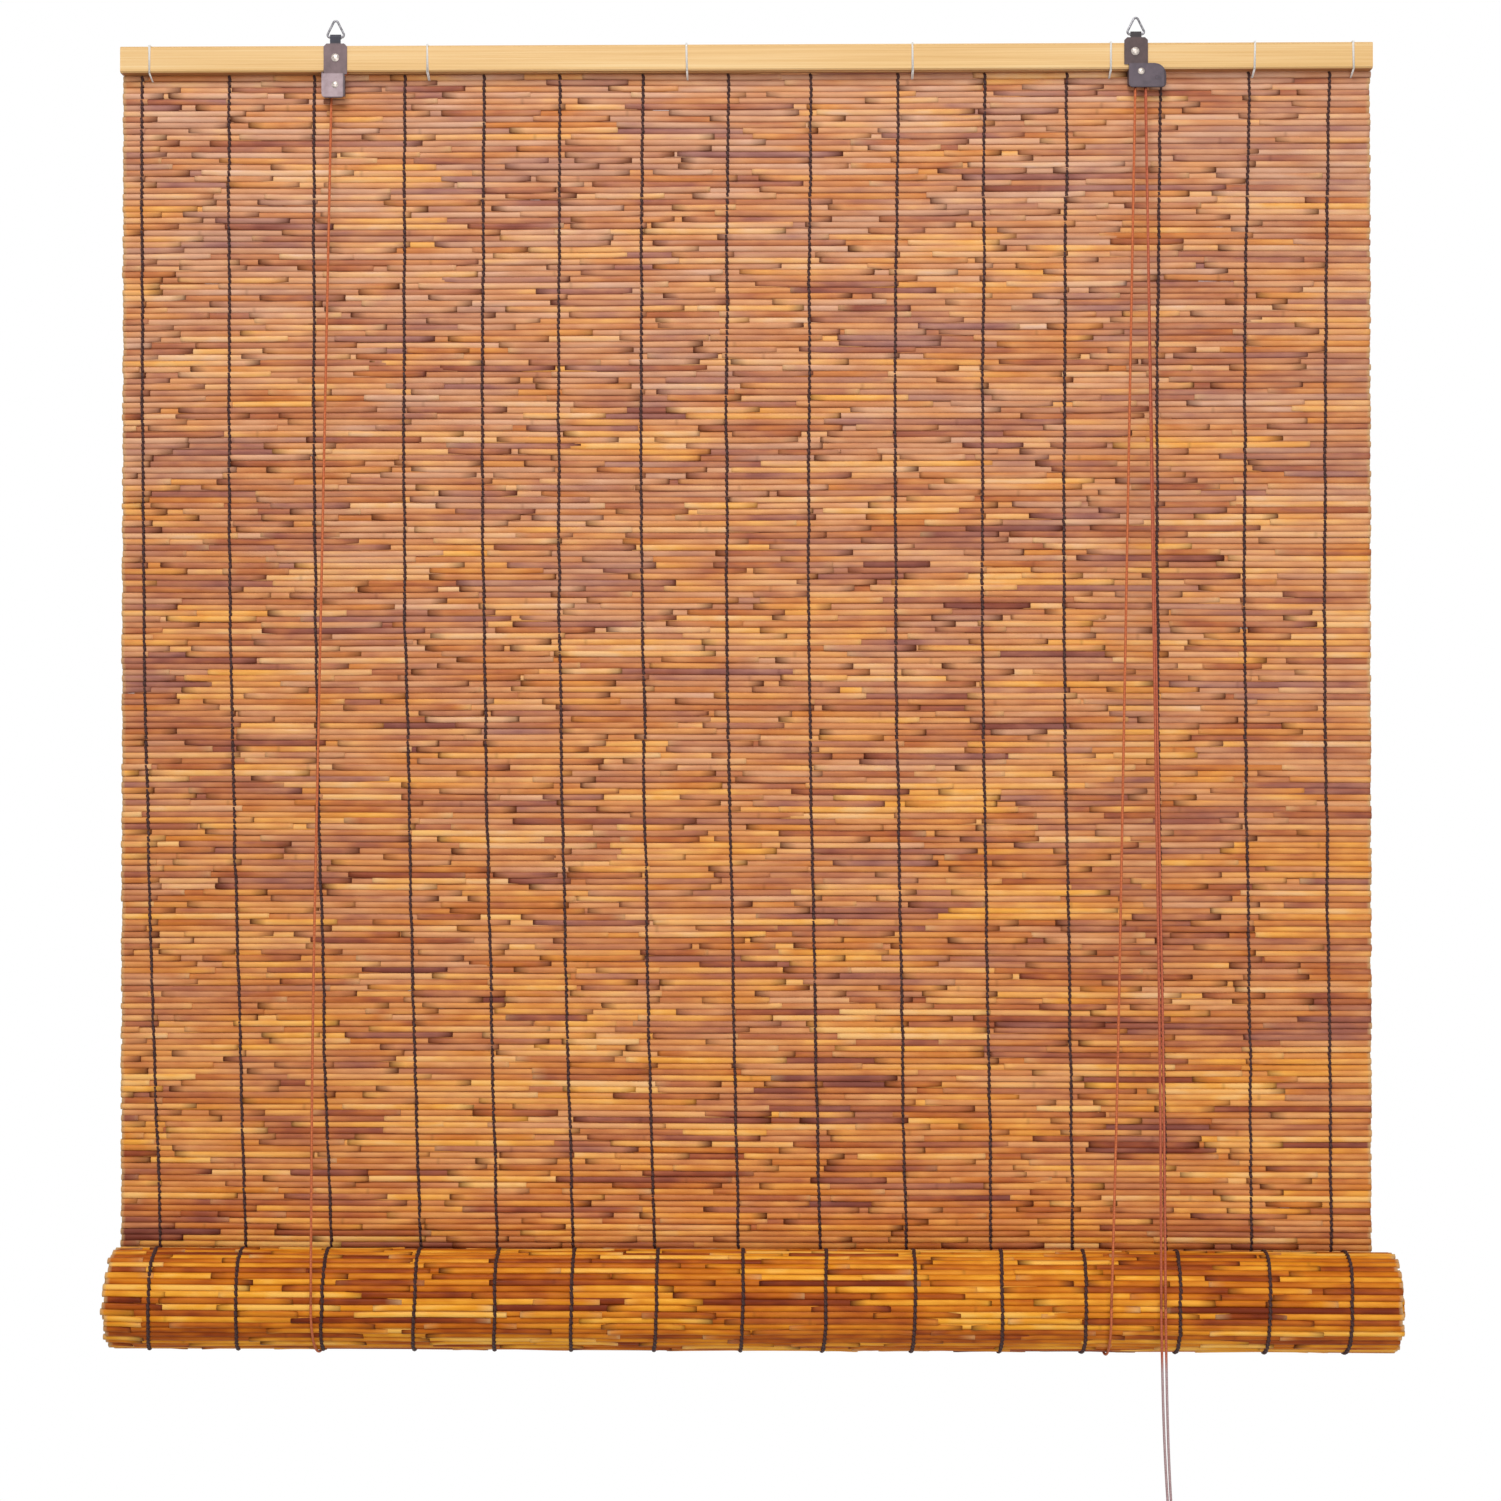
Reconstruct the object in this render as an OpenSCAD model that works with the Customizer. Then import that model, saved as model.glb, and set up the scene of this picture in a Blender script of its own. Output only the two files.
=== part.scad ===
// Reed roll-up blind, hung by two wire loops and raised by two cords that pass under its roll.
// Millimetres. The origin is on the line of the two hooks, above the middle of the head rail.
// +X is to the right, +Y points to the wall and +Z points up.

/* [Mat] */
// Width of the mat, the head rail and the bottom batten
blind_w = 900; // [840:10:1000]
// Rows of reeds from the top of the mat down to the roll
hanging_rows = 207; // [120:1:220]
// Distance between the middles of two rows
reed_pitch = 4.3; // [4.3:0.05:4.8]
// Thickness of a reed
reed_d = 4; // [3.6:0.1:4]
// Thickness of the wall in the valleys between reeds
web_t = 1.4; // [1:0.1:2]
// Height of a gap between two rows
gap_h = 0.5; // [0.3:0.1:0.8]
// Closed strip at both ends of each gap
gap_margin = 12; // [8:1:20]

/* [Roll] */
// Turns of the mat in the roll
roll_turns = 5; // [3:0.5:5]
// Air between two turns
turn_air = 0.3; // [0.2:0.05:0.6]
// Distance from the roll's axis to the middle of the outermost reed
roll_r = 35.1; // [35.1:0.1:40]
// Sideways shift of the roll against the mat
roll_shift = 6; // [0:1:10]

/* [Rails] */
// Height of the head rail
rail_h = 19; // [18:0.5:22]
// Thickness of the head rail
rail_t = 8; // [8:0.5:9]
// Height of the bottom batten
batten_h = 20; // [14:0.5:20]
// Thickness of the bottom batten
batten_t = 8.5; // [6:0.5:8.5]

/* [Threads] */
// Number of stitching threads
thread_count = 15; // [13:1:15]
// Width of a stitching thread
thread_w = 1.8; // [1:0.1:2.2]
// Height of a stitching thread over the reeds
thread_t = 0.8; // [0.5:0.1:1]
// Thickness of a white tie round the head rail
tie_t = 1; // [0.8:0.1:1.2]

/* [Brackets] */
// Place of the left bracket, as a share of the width from the middle of the rail
left_share = 0.327; // [0.32:0.001:0.336]
// Place of the right bracket, as a share of the width from the middle of the rail
right_share = 0.312; // [0.308:0.002:0.316]
// Width of a bracket's strap
strap_w = 16.8; // [15:0.2:18]
// Thickness of the sheet metal
sheet = 1; // [0.8:0.1:1]
// Thickness of the hanger loops' wire
wire_d = 1.6; // [1.4:0.1:1.8]
// Depth of a pulley housing between its cheeks
housing_depth = 6.6; // [6.6:0.1:6.8]

/* [Cords] */
// Thickness of the cords
cord_d = 1.8; // [1.4:0.1:1.8]
// Length of each pull cord below the front of the roll
pull_hang = 160; // [120:5:250]

/* [Hidden] */
$fn = 48;

// Clearances
touch = 0.05;
pin_play = 0.1;
side_play = 0.3;
wire_play = 0.2;
core_play = 0.2;
cord_end_gap = 0.2;
cut = 1;

// Hanger loop: a triangle of wire with round corners, and its inner top on the origin's level
loop_bend = 1.8;
bend_d = wire_d + 0.02;
bend_lap = 0.1;
loop_half_base = 7;
loop_side_h = 14;
loop_base_angle = atan(loop_side_h / loop_half_base);
loop_apex_y = loop_side_h - loop_bend / cos(loop_base_angle);
bar_z = wire_d / 2 - loop_apex_y - loop_bend;

// Tongue that is curled round the loop's base bar
tongue_w = 7.6;
curl_end = 0.9;
curl_bore = wire_d / 2 + wire_play;
curl_r = curl_bore + sheet;

// Head rail
rail_top = -17;
rail_bottom = rail_top - rail_h;
rail_front = -curl_bore;
rail_back = rail_front + rail_t;
rail_edge = 1.2;

// Mat: rows behind the rail's back face, then hanging free
rows_behind_rail = 4;
reed_r = reed_d / 2;
crest_half = reed_d * 0.27;
mat_y = rail_back + reed_r + touch;
row_0_z = rail_bottom + (rows_behind_rail - 0.5) * reed_pitch;
mat_end_z = row_0_z - (hanging_rows - 0.5) * reed_pitch;
gap_every = 2;
function row_z(i) = row_0_z - i * reed_pitch;
function valley_z(i) = row_0_z - (i - 0.5) * reed_pitch;

// Roll: a spiral of the same reeds, whose outer end is in line with the mat
roll_z = mat_end_z - reed_pitch / 2;
roll_y = mat_y - roll_r;
turn_step = reed_d + turn_air;
roll_angle = roll_turns * 2 * PI;
roll_length = roll_r * roll_angle - turn_step * pow(roll_angle, 2) / (4 * PI);
roll_rows = floor(roll_length / reed_pitch);
seam = 0.3;
function spiral_turn(s) = (roll_r - sqrt(pow(roll_r, 2) - turn_step * s / PI)) * 2 * PI / turn_step;
function spiral_point(s, out, along) =
    let (
        turn = spiral_turn(s),
        r = roll_r - turn_step * turn / (2 * PI) + out,
        a = turn * 180 / PI
    )
    [
        roll_y + r * cos(a) - along * sin(a),
        roll_z - r * sin(a) - along * cos(a)
    ];

// Stitching threads: first thread and spacing at the top, at the mat's end and on the roll
thread_top_x = -0.4845 * blind_w;
thread_top_step = 0.952 * blind_w / (thread_count - 1);
thread_end_x = -0.4705 * blind_w;
thread_end_step = 0.938 * blind_w / (thread_count - 1);
thread_roll_x = -0.4575 * blind_w;
thread_roll_step = 0.9234 * blind_w / (thread_count - 1);
// How far each thread of a blind with 15 is stitched from its even place, in spacings
thread_drifts = [
    0, 0.032, 0.045, 0.12, 0.05, -0.05, -0.071, -0.062, -0.09, -0.062, -0.04, -0.073, 0.026, 0.057, 0
];
function thread_x(i, first, step) =
    first + (i + thread_drifts[round(i * (len(thread_drifts) - 1) / (thread_count - 1))]) * step;
// The hanging threads bow to the left, most at half of the bow's reach down from the rail
thread_bow = 0.0041 * blind_w;
thread_bow_reach = 0.82;
thread_bow_steps = 8;
ring_steps = 24;
ring_lift = 0.35;
ring_start = 4;
ring_end = 334;

// Height over the roll's axis at which the front threads go into the nip between mat and roll
nip_r = roll_r - turn_step + reed_r;
nip_y = roll_r - reed_r - touch - thread_t;
nip_h = sqrt(max(0, pow(nip_r, 2) - pow(nip_y, 2))) + side_play;

// White ties: the thread that each one stands beside, and how far beside it in thread spacings
tie_threads = [0, 3, 6, 9, 11, 13, 14];
tie_offsets = [0.12, 0.4, 0.45, 0.1, 0.42, 0.1, 0.25];
tie_xs = [
    for (i = [0:len(tie_threads) - 1])
        let (thread = round(tie_threads[i] * (thread_count - 1) / 14))
        thread_top_x + (thread + tie_offsets[i]) * thread_top_step
];
tie_row = rows_behind_rail + 1;
tie_hole = tie_t + 2 * side_play;

// Brackets and pulley housings
left_x = -left_share * blind_w;
right_x = right_share * blind_w;
pulley_r = 4.6;
groove_r = 2.7;
groove_w = cord_d + 0.2;
flange_t = 0.5;
middle_flange_t = 0.6;
pulley_w = 2 * groove_w + 2 * flange_t + middle_flange_t;
axle_d = 2.6;
axle_head_r = 2.4;
axle_head_h = 1.2;
axle_tail_h = 0.5;
cheek_joggle = 0.6;
cheek_front = rail_front - sheet - cheek_joggle;
cheek_inner = cheek_front + sheet;
back_cheek = cheek_inner + housing_depth;
pulley_y = cheek_inner + (housing_depth - pulley_w) / 2;
front_groove_y = pulley_y + flange_t + groove_w / 2;
back_groove_y = front_groove_y + groove_w + middle_flange_t;
wrap_r = groove_r + cord_d / 2 + touch;
cord_drop = pulley_r + side_play;
left_pulley_drop = 9.6;
left_pulley_x = left_x;
left_pulley_z = rail_bottom - left_pulley_drop;
right_pulley_side = 3.5;
right_pulley_drop = 2.1;
right_pulley_x = right_x + right_pulley_side;
right_pulley_z = rail_bottom - right_pulley_drop;
notch_play = 1.9;
notch_half = pulley_r + notch_play;
ear_rim = 0.4;

// Outlines of the housings' front cheeks: their edges from the strap's middle and the rail's low edge
left_cheek_left = 9.8;
left_cheek_right = 6.9;
left_cheek_drop = 19;
left_cheek_gap = 1.5;
right_cheek_left = 5.2;
right_cheek_right = 21.4;
right_cheek_drop = 13.6;
right_cheek_rise = 3.7;
left_cheek = [
    left_x - left_cheek_left, left_x + left_cheek_right,
    rail_bottom - left_cheek_drop, rail_bottom - left_cheek_gap
];
right_cheek = [
    right_x - right_cheek_left, right_x + right_cheek_right,
    rail_bottom - right_cheek_drop, rail_bottom + right_cheek_rise
];
corner_r = 3;
left_upper_r = 0.6;
right_upper_r = 8.5;
back_inset = 1;
strap_lap = 0.5;
strap_shoulder = 2;
under_rail = rail_bottom - side_play;

// Nails through the straps
nail_d = 2.4;
nail_head_d = 5.8;
nail_head_h = 1.5;
nail_point = 1.4;
nail_l = rail_t - 1.6;
left_nail_drop = 9.1;
right_nail_drop = 6.7;
right_nail_side = 0.7;
left_strap_rise = 1.1;
right_strap_rise = 3.4;
left_nail = [left_x, rail_top - left_nail_drop];
right_nail = [right_x - right_nail_side, rail_top - right_nail_drop];
left_strap_top = rail_top + left_strap_rise;
right_strap_top = rail_top + right_strap_rise;

// Cord lock
cam_side = 11.4;
cam_drop = 4.6;
cam_x = right_pulley_x + cam_side;
cam_z = right_pulley_z - cam_drop;
cam_hub_r = 3.2;
cam_tip_r = 7.6;
cam_root_r = 6;
cam_from = 176;
cam_sweep = 40;
cam_hub_from = cam_from + cam_sweep + 50;
cam_hub_to = cam_from + 310;
cam_teeth = 7;
tooth_depth = 0.6;

// Lift cords: x at the roll and at their staples, and the circle that they follow round the roll
right_lift_side = 27;
left_lift_x = left_pulley_x - wrap_r;
right_lift_x = right_x - right_lift_side;
right_staple_side = 4;
left_staple_x = left_lift_x;
right_staple_x = right_x - right_staple_side;
bight_r = roll_r + reed_r + side_play + cord_d / 2;
back_run_y = roll_y + bight_r;
groove_cord_z = right_pulley_z + wrap_r;

// Angle above the roll's level at which a cord from a point touches the bight circle in front
function front_touch(y, z) =
    let (dy = y - roll_y, dz = z - roll_z)
    acos(bight_r / norm([dy, dz])) - atan2(dy, dz);
function front_point(angle) = [
    roll_y - bight_r * sin(angle),
    roll_z + bight_r * cos(angle)
];
left_touch = front_touch(back_groove_y, left_pulley_z - cord_drop);
right_touch = front_touch(front_groove_y, right_pulley_z - cord_drop);

// Way of the left cord over its pulley, up into the rail's groove, along it and over the lock's pulley
climb_angle = 35;
climb_from = [left_pulley_x, left_pulley_z] + wrap_r * [-sin(climb_angle), cos(climb_angle)];
climb_run = (groove_cord_z - climb_from[1]) / tan(climb_angle);
lock_exit = [right_pulley_x + wrap_r, right_pulley_z - cord_drop];
cross_route = concat(
    [[left_pulley_x - wrap_r, left_pulley_z - cord_drop]],
    arc([left_pulley_x, left_pulley_z], wrap_r, 180, 90 + climb_angle, 6),
    [[climb_from[0] + climb_run, groove_cord_z]],
    arc([right_pulley_x, right_pulley_z], wrap_r, 90, 0, 8),
    [lock_exit]
);
turn_route = concat(
    [[right_pulley_x - wrap_r, right_pulley_z - cord_drop]],
    arc([right_pulley_x, right_pulley_z], wrap_r, 180, 0, 16),
    [lock_exit]
);

// Pull cords: from the lock's pulley to the front of the roll, then straight down to the pull
pull_x = lock_exit[0];
pull_spread = 3;
pull_drift = 6;
pull_a_touch = front_touch(back_groove_y, right_pulley_z - cord_drop);
pull_b_touch = right_touch;
pull_a_point = front_point(pull_a_touch);
pull_b_point = front_point(pull_b_touch);
pull_top_z = min(pull_a_point[1], pull_b_point[1]) - pull_hang;
pull_mid = [
    pull_x + pull_spread / 2 + pull_drift,
    (pull_a_point[0] + pull_b_point[0]) / 2
];
pull_h = 34;
pull_r = 9;
pull_bore_r = 2.4;
knot_d = 6;
knot_play = 0.6;
knot_seat = 2;

// Staples that hold the lift cords' back ends
staple_d = 1.2;
staple_half = 3.5;
staple_bite = 4;
staple_tip = 0.5;
staple_hole = staple_d * sqrt(2) + 2 * pin_play;
staple_row = rows_behind_rail - 1;
staple_z = valley_z(staple_row);
crown_y = back_run_y + cord_d / 2 + staple_d / 2 + side_play;
stop_knot_d = 4.4;

// An outline in the YZ plane, made x_len long along X about x_mid
module along_x(x_len, x_mid = 0) {
    translate([x_mid - x_len / 2, 0, 0])
        rotate([90, 0, 90])
            linear_extrude(x_len)
                children();
}

// An outline in the XZ plane, made from y_from to y_to
module along_y(y_from, y_to) {
    translate([0, y_to, 0])
        rotate([90, 0, 0])
            linear_extrude(y_to - y_from)
                children();
}

// A pin along Y from y_from to y_to
module pin(x, z, d, y_from, y_to) {
    translate([x, y_from, z])
        rotate([-90, 0, 0])
            cylinder(d = d, h = y_to - y_from);
}

// A straight cord between two points, a little short at both ends
module straight_cord(p, q) {
    run = q - p;
    full = norm(run);
    translate(p)
        rotate([0, acos(run[2] / full), atan2(run[1], run[0])])
            translate([0, 0, cord_end_gap])
                cylinder(d = cord_d, h = full - 2 * cord_end_gap);
}

function arc(centre, r, from, to, steps) = [
    for (i = [0:steps])
        let (a = from + (to - from) * i / steps)
        centre + r * [cos(a), sin(a)]
];

module head_rail() {
    top = rail_top;
    low = rail_bottom;
    edge = rail_edge;
    groove_top = groove_cord_z + cord_d / 2 + side_play;
    groove_from = left_pulley_x;
    notch_top = right_pulley_z + pulley_r + side_play;
    color([0.96, 0.79, 0.56])
    difference() {
        along_x(blind_w)
            polygon([
                [rail_front + edge, top], [rail_back, top], [rail_back, low],
                [rail_front + edge, low], [rail_front, low + edge], [rail_front, top - edge]
            ]);
        // Groove for the cord that crosses to the lock
        translate([groove_from, back_groove_y - cord_d / 2 - side_play, low - cut])
            cube([right_pulley_x - groove_from, cord_d + 2 * side_play, groove_top - low + cut]);
        // Notch over the lock's pulley
        translate([right_pulley_x - notch_half, rail_front - cut, low - cut])
            cube([2 * notch_half, rail_t + 2 * cut, notch_top - low + cut]);
        for (p = [left_nail, right_nail])
            pin(p[0], p[1], nail_d + 2 * pin_play, rail_front - cut, rail_back - cut);
        for (x = [left_staple_x, right_staple_x], side = [-staple_half, staple_half])
            pin(x + side, staple_z, staple_hole, rail_back - staple_bite - cut, rail_back + cut);
    }
}

// The batten stands with its edge against the last reed of the roll
module bottom_batten() {
    half_t = batten_t / 2;
    end_turn = spiral_turn((roll_rows - 1) * reed_pitch);
    core_r = roll_r - turn_step * end_turn / (2 * PI) - reed_r - core_play;
    edge = sqrt(pow(core_r, 2) - pow(half_t, 2));
    color([0.93, 0.75, 0.5])
    translate([0, roll_y, roll_z])
        rotate([-end_turn * 180 / PI, 0, 0])
            along_x(blind_w, roll_shift)
                translate([edge - batten_h, -half_t])
                    square([batten_h, batten_t]);
}

// One side of the mat's outline, from the top row down
function mat_side(way) = [
    for (i = [0:hanging_rows - 1])
        each [
            [mat_y + way * web_t / 2, valley_z(i)],
            [mat_y + way * reed_r, row_z(i) + crest_half],
            [mat_y + way * reed_r, row_z(i) - crest_half]
        ],
    [mat_y + way * web_t / 2, mat_end_z]
];

function backwards(list) = [for (i = [len(list) - 1:-1:0]) list[i]];

module reed_mat() {
    first_gap = tie_row + 1;
    color([0.76, 0.52, 0.33])
    difference() {
        along_x(blind_w)
            polygon(concat(mat_side(-1), backwards(mat_side(1))));
        // Gaps that let the light through
        for (i = [first_gap:gap_every:hanging_rows - 2])
            translate([0, mat_y, valley_z(i)])
                cube([blind_w - 2 * gap_margin, reed_d + cut, gap_h], center = true);
        // Holes for the ties
        for (x = tie_xs)
            translate([x, mat_y, valley_z(tie_row)])
                cube([tie_hole, reed_d + cut, tie_hole], center = true);
        // Holes for the staples
        for (x = [left_staple_x, right_staple_x], side = [-staple_half, staple_half])
            translate([x + side, mat_y, staple_z])
                cube([staple_d + 2 * side_play, reed_d + cut, staple_d + 2 * side_play], center = true);
    }
}

// One side of the spiral's outline, from the outer end to the core
function roll_side(way) = [
    for (i = [0:roll_rows - 1])
        let (valley = i == 0 ? seam - reed_pitch / 2 : (i - 0.5) * reed_pitch)
        each [
            spiral_point(valley, way * web_t / 2, 0),
            spiral_point(i * reed_pitch, way * reed_r, -crest_half),
            spiral_point(i * reed_pitch, way * reed_r, crest_half)
        ],
    spiral_point((roll_rows - 0.5) * reed_pitch, way * web_t / 2, 0)
];

module reed_roll() {
    color([0.7, 0.41, 0.14])
    along_x(blind_w, roll_shift)
        polygon(concat(roll_side(1), backwards(roll_side(-1))));
}

// One edge of a hanging thread, from the rail down to some height
function thread_edge(i, out, low_z) =
    let (
        top_x = thread_x(i, thread_top_x, thread_top_step),
        end_x = thread_x(i, thread_end_x, thread_end_step)
    )
    [
        for (k = [0:thread_bow_steps])
            let (
                share = k / thread_bow_steps,
                bow = thread_bow * sin(180 * min(1, share / thread_bow_reach))
            )
            [top_x + (end_x - top_x) * share - bow + out, under_rail + (low_z - under_rail) * share]
    ];

module mat_stitch_threads() {
    half = thread_w / 2;
    lift = reed_r + touch;
    color([0.2, 0.13, 0.1])
    for (i = [0:thread_count - 1], side = [[mat_y - lift - thread_t, roll_z + nip_h], [mat_y + lift, mat_end_z]])
        along_y(side[0], side[0] + thread_t)
            polygon(concat(thread_edge(i, -half, side[1]), backwards(thread_edge(i, half, side[1]))));
}

// A band round the roll's outer turn
function ring_side(out) = [
    for (i = [0:ring_steps])
        let (
            a = ring_start + (ring_end - ring_start) * i / ring_steps,
            r = roll_r - turn_step * a / 360 + out
        )
        [roll_y + r * cos(a), roll_z - r * sin(a)]
];

module roll_stitch_threads() {
    inner = reed_r + ring_lift;
    color([0.2, 0.13, 0.1])
    for (i = [0:thread_count - 1])
        along_x(thread_w, thread_x(i, thread_roll_x, thread_roll_step))
            polygon(concat(ring_side(inner + thread_t), backwards(ring_side(inner))));
}

// A tie's outline round the rail and the mat's top rows, out by some distance
function tie_outline(out) =
    let (
        low = valley_z(tie_row),
        half = tie_t / 2,
        mat_front = rail_back - 1,
        mat_back = mat_y + reed_r + touch
    )
    [
        [rail_front - touch - out, rail_top + touch + out],
        [rail_front - touch - out, rail_bottom - touch - out * 0.4],
        [mat_front - out * 0.4, low + half - out],
        [mat_back + out, low + half - out],
        [mat_back + out, row_0_z + reed_r + out],
        [rail_back + touch + out * 0.4, rail_top + touch + out]
    ];

module rail_ties() {
    color([0.95, 0.94, 0.9])
    for (x = tie_xs)
        along_x(tie_t, x)
            difference() {
                polygon(tie_outline(tie_t));
                polygon(tie_outline(0));
            }
}

// Curled tongue and strap of a bracket
module bracket_strap(x, strap_top, strap_low, nail) {
    half = strap_w / 2;
    shoulder = strap_shoulder;
    difference() {
        union() {
            difference() {
                along_x(tongue_w, x)
                    translate([0, bar_z])
                        circle(r = curl_r);
                along_x(tongue_w + cut, x)
                    translate([0, bar_z])
                        circle(r = curl_bore);
                // Opening of the curl, under the bar
                translate([x - tongue_w, -curl_bore, bar_z - curl_r - cut])
                    cube([2 * tongue_w, 2 * curl_r, curl_r - curl_end + cut]);
            }
            translate([x - tongue_w / 2, -curl_r, strap_top - strap_lap])
                cube([tongue_w, sheet, bar_z - strap_top + strap_lap]);
            along_y(-curl_r, -curl_bore)
                polygon([
                    [x - half, strap_low], [x + half, strap_low],
                    [x + half, strap_top - shoulder], [x + half - shoulder, strap_top],
                    [x - half + shoulder, strap_top], [x - half, strap_top - shoulder]
                ]);
        }
        pin(nail[0], nail[1], nail_d + 2 * pin_play, -curl_r - cut, -curl_bore + cut);
    }
}

// Front cheek with round lower corners and one round upper corner
module front_cheek(outline, upper_r) {
    left = outline[0];
    right = outline[1];
    low = outline[2];
    top = outline[3];
    r = corner_r;
    along_y(cheek_front, cheek_inner)
        polygon(concat(
            arc([left + r, low + r], r, 180, 270, 6),
            arc([right - r, low + r], r, 270, 360, 6),
            arc([right - upper_r, top - upper_r], upper_r, 0, 90, 6),
            [[left, top]]
        ));
}

// Side wall and back cheek, folded from the front cheek's left edge
module folded_wall(outline, back_right, top) {
    left = outline[0];
    low = outline[2] + corner_r;
    translate([left, cheek_front, low])
        cube([sheet, back_cheek + sheet - cheek_front, top - low]);
    translate([left, back_cheek, low])
        cube([back_right - left, sheet, top - low]);
}

// A hole through both cheeks of a housing
module cheek_hole(x, z) {
    pin(x, z, axle_d + 2 * pin_play, cheek_front - cut, back_cheek + sheet + cut);
}

module left_bracket() {
    color([0.5, 0.47, 0.48])
    difference() {
        union() {
            bracket_strap(left_x, left_strap_top, left_cheek[3] - strap_lap, left_nail);
            front_cheek(left_cheek, left_upper_r);
            folded_wall(left_cheek, left_cheek[1] - back_inset, under_rail);
        }
        cheek_hole(left_pulley_x, left_pulley_z);
    }
}

module right_bracket() {
    ear_half = pulley_r + ear_rim;
    ear_top = right_pulley_z + pulley_r - side_play;
    color([0.33, 0.28, 0.26])
    difference() {
        union() {
            bracket_strap(right_x, right_strap_top, right_cheek[3] - strap_lap, right_nail);
            front_cheek(right_cheek, right_upper_r);
            folded_wall(right_cheek, right_cheek[1] - back_inset, under_rail);
            // Ear that carries the back end of the axle, in the rail's notch
            translate([right_pulley_x - ear_half, back_cheek, right_pulley_z])
                cube([2 * ear_half, sheet, ear_top - right_pulley_z]);
        }
        cheek_hole(right_pulley_x, right_pulley_z);
        cheek_hole(cam_x, cam_z);
    }
}

// A loop's rounded corner: its middle, and where the bend starts and how far it turns
module loop_corner(middle, from, sweep) {
    translate([middle[0], middle[1], 0])
        rotate([0, 0, from])
            rotate_extrude(angle = sweep)
                translate([loop_bend, 0])
                    circle(d = bend_d);
}

// A straight length of the loop between two points of its plane, lapped into the bends
module loop_side(p, q) {
    run = q - p;
    translate([p[0], p[1], 0])
        rotate([0, 0, atan2(run[1], run[0])])
            rotate([0, 90, 0])
                translate([0, 0, -bend_lap])
                    cylinder(d = wire_d, h = norm(run) + 2 * bend_lap);
}

module hanger_loop(x) {
    base = loop_base_angle;
    inset = loop_bend / tan(base / 2);
    right = [loop_half_base - inset, loop_bend];
    left = [-right[0], right[1]];
    apex = [0, loop_apex_y];
    out_right = loop_bend * [sin(base), cos(base)];
    out_left = [-out_right[0], out_right[1]];
    down = [0, -loop_bend];
    color([0.62, 0.62, 0.64])
    translate([x, 0, bar_z])
        rotate([90, 0, 0]) {
            loop_corner(right, -90, 180 - base);
            loop_corner(apex, 90 - base, 2 * base);
            loop_corner(left, 90 + base, 180 - base);
            loop_side(left + down, right + down);
            loop_side(right + out_right, apex + out_right);
            loop_side(apex + out_left, left + out_left);
        }
}

module left_hanger_loop() {
    hanger_loop(left_x);
}

module right_hanger_loop() {
    hanger_loop(right_x);
}

// A domed nail: head on the strap, shank in the rail
module bracket_nail(p) {
    head = nail_head_d / 2;
    shank = nail_d / 2;
    color([0.85, 0.84, 0.8])
    translate([p[0], -curl_r, p[1]])
        rotate([-90, 0, 0])
            rotate_extrude()
                polygon([
                    [0, -nail_head_h], [head * 0.55, -nail_head_h * 0.85], [head, -nail_head_h * 0.27],
                    [head, 0], [shank, 0], [shank, nail_l - nail_point], [0, nail_l]
                ]);
}

module left_bracket_nail() {
    bracket_nail(left_nail);
}

module right_bracket_nail() {
    bracket_nail(right_nail);
}

// A rivet through both cheeks: domed head in front, flat head behind
module pulley_axle(x, z) {
    head = axle_head_r;
    tail = head * 0.9;
    shank = axle_d / 2;
    depth = back_cheek + sheet - cheek_front;
    color([0.85, 0.84, 0.8])
    translate([x, cheek_front, z])
        rotate([-90, 0, 0])
            rotate_extrude()
                polygon([
                    [0, -axle_head_h], [head * 0.6, -axle_head_h * 0.83], [head, -axle_head_h * 0.25],
                    [head, 0], [shank, 0], [shank, depth], [tail, depth], [tail, depth + axle_tail_h],
                    [0, depth + axle_tail_h]
                ]);
}

module left_pulley_axle() {
    pulley_axle(left_pulley_x, left_pulley_z);
}

module right_pulley_axle() {
    pulley_axle(right_pulley_x, right_pulley_z);
}

// A wheel with two grooves
module cord_pulley(x, z) {
    bore = axle_d / 2 + pin_play;
    first = flange_t;
    second = first + groove_w;
    third = second + middle_flange_t;
    fourth = third + groove_w;
    color([0.78, 0.68, 0.4])
    translate([x, pulley_y, z])
        rotate([-90, 0, 0])
            rotate_extrude()
                polygon([
                    [bore, 0], [pulley_r, 0], [pulley_r, first], [groove_r, first],
                    [groove_r, second], [pulley_r, second], [pulley_r, third], [groove_r, third],
                    [groove_r, fourth], [pulley_r, fourth], [pulley_r, pulley_w], [bore, pulley_w]
                ]);
}

module left_pulley() {
    cord_pulley(left_pulley_x, left_pulley_z);
}

module right_pulley() {
    cord_pulley(right_pulley_x, right_pulley_z);
}

// The lock's cam: a hub with a toothed lobe that grows towards its tip
module lock_cam() {
    steps = 2 * cam_teeth;
    lobe = [
        for (i = [0:steps])
            let (
                a = cam_from + cam_sweep * i / steps,
                r = cam_root_r + (cam_tip_r - cam_root_r) * i / steps - (i % 2) * tooth_depth
            )
            r * [cos(a), sin(a)]
    ];
    color([0.72, 0.6, 0.34])
    difference() {
        along_y(pulley_y, pulley_y + pulley_w)
            translate([cam_x, cam_z])
                polygon(concat(lobe, arc([0, 0], cam_hub_r, cam_hub_from, cam_hub_to, 16)));
        pin(cam_x, cam_z, axle_d + 2 * pin_play, pulley_y - cut, pulley_y + pulley_w + cut);
    }
}

module lock_cam_pin() {
    color([0.4, 0.36, 0.34])
    pin(cam_x, cam_z, axle_d, cheek_front, back_cheek + sheet);
}

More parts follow.
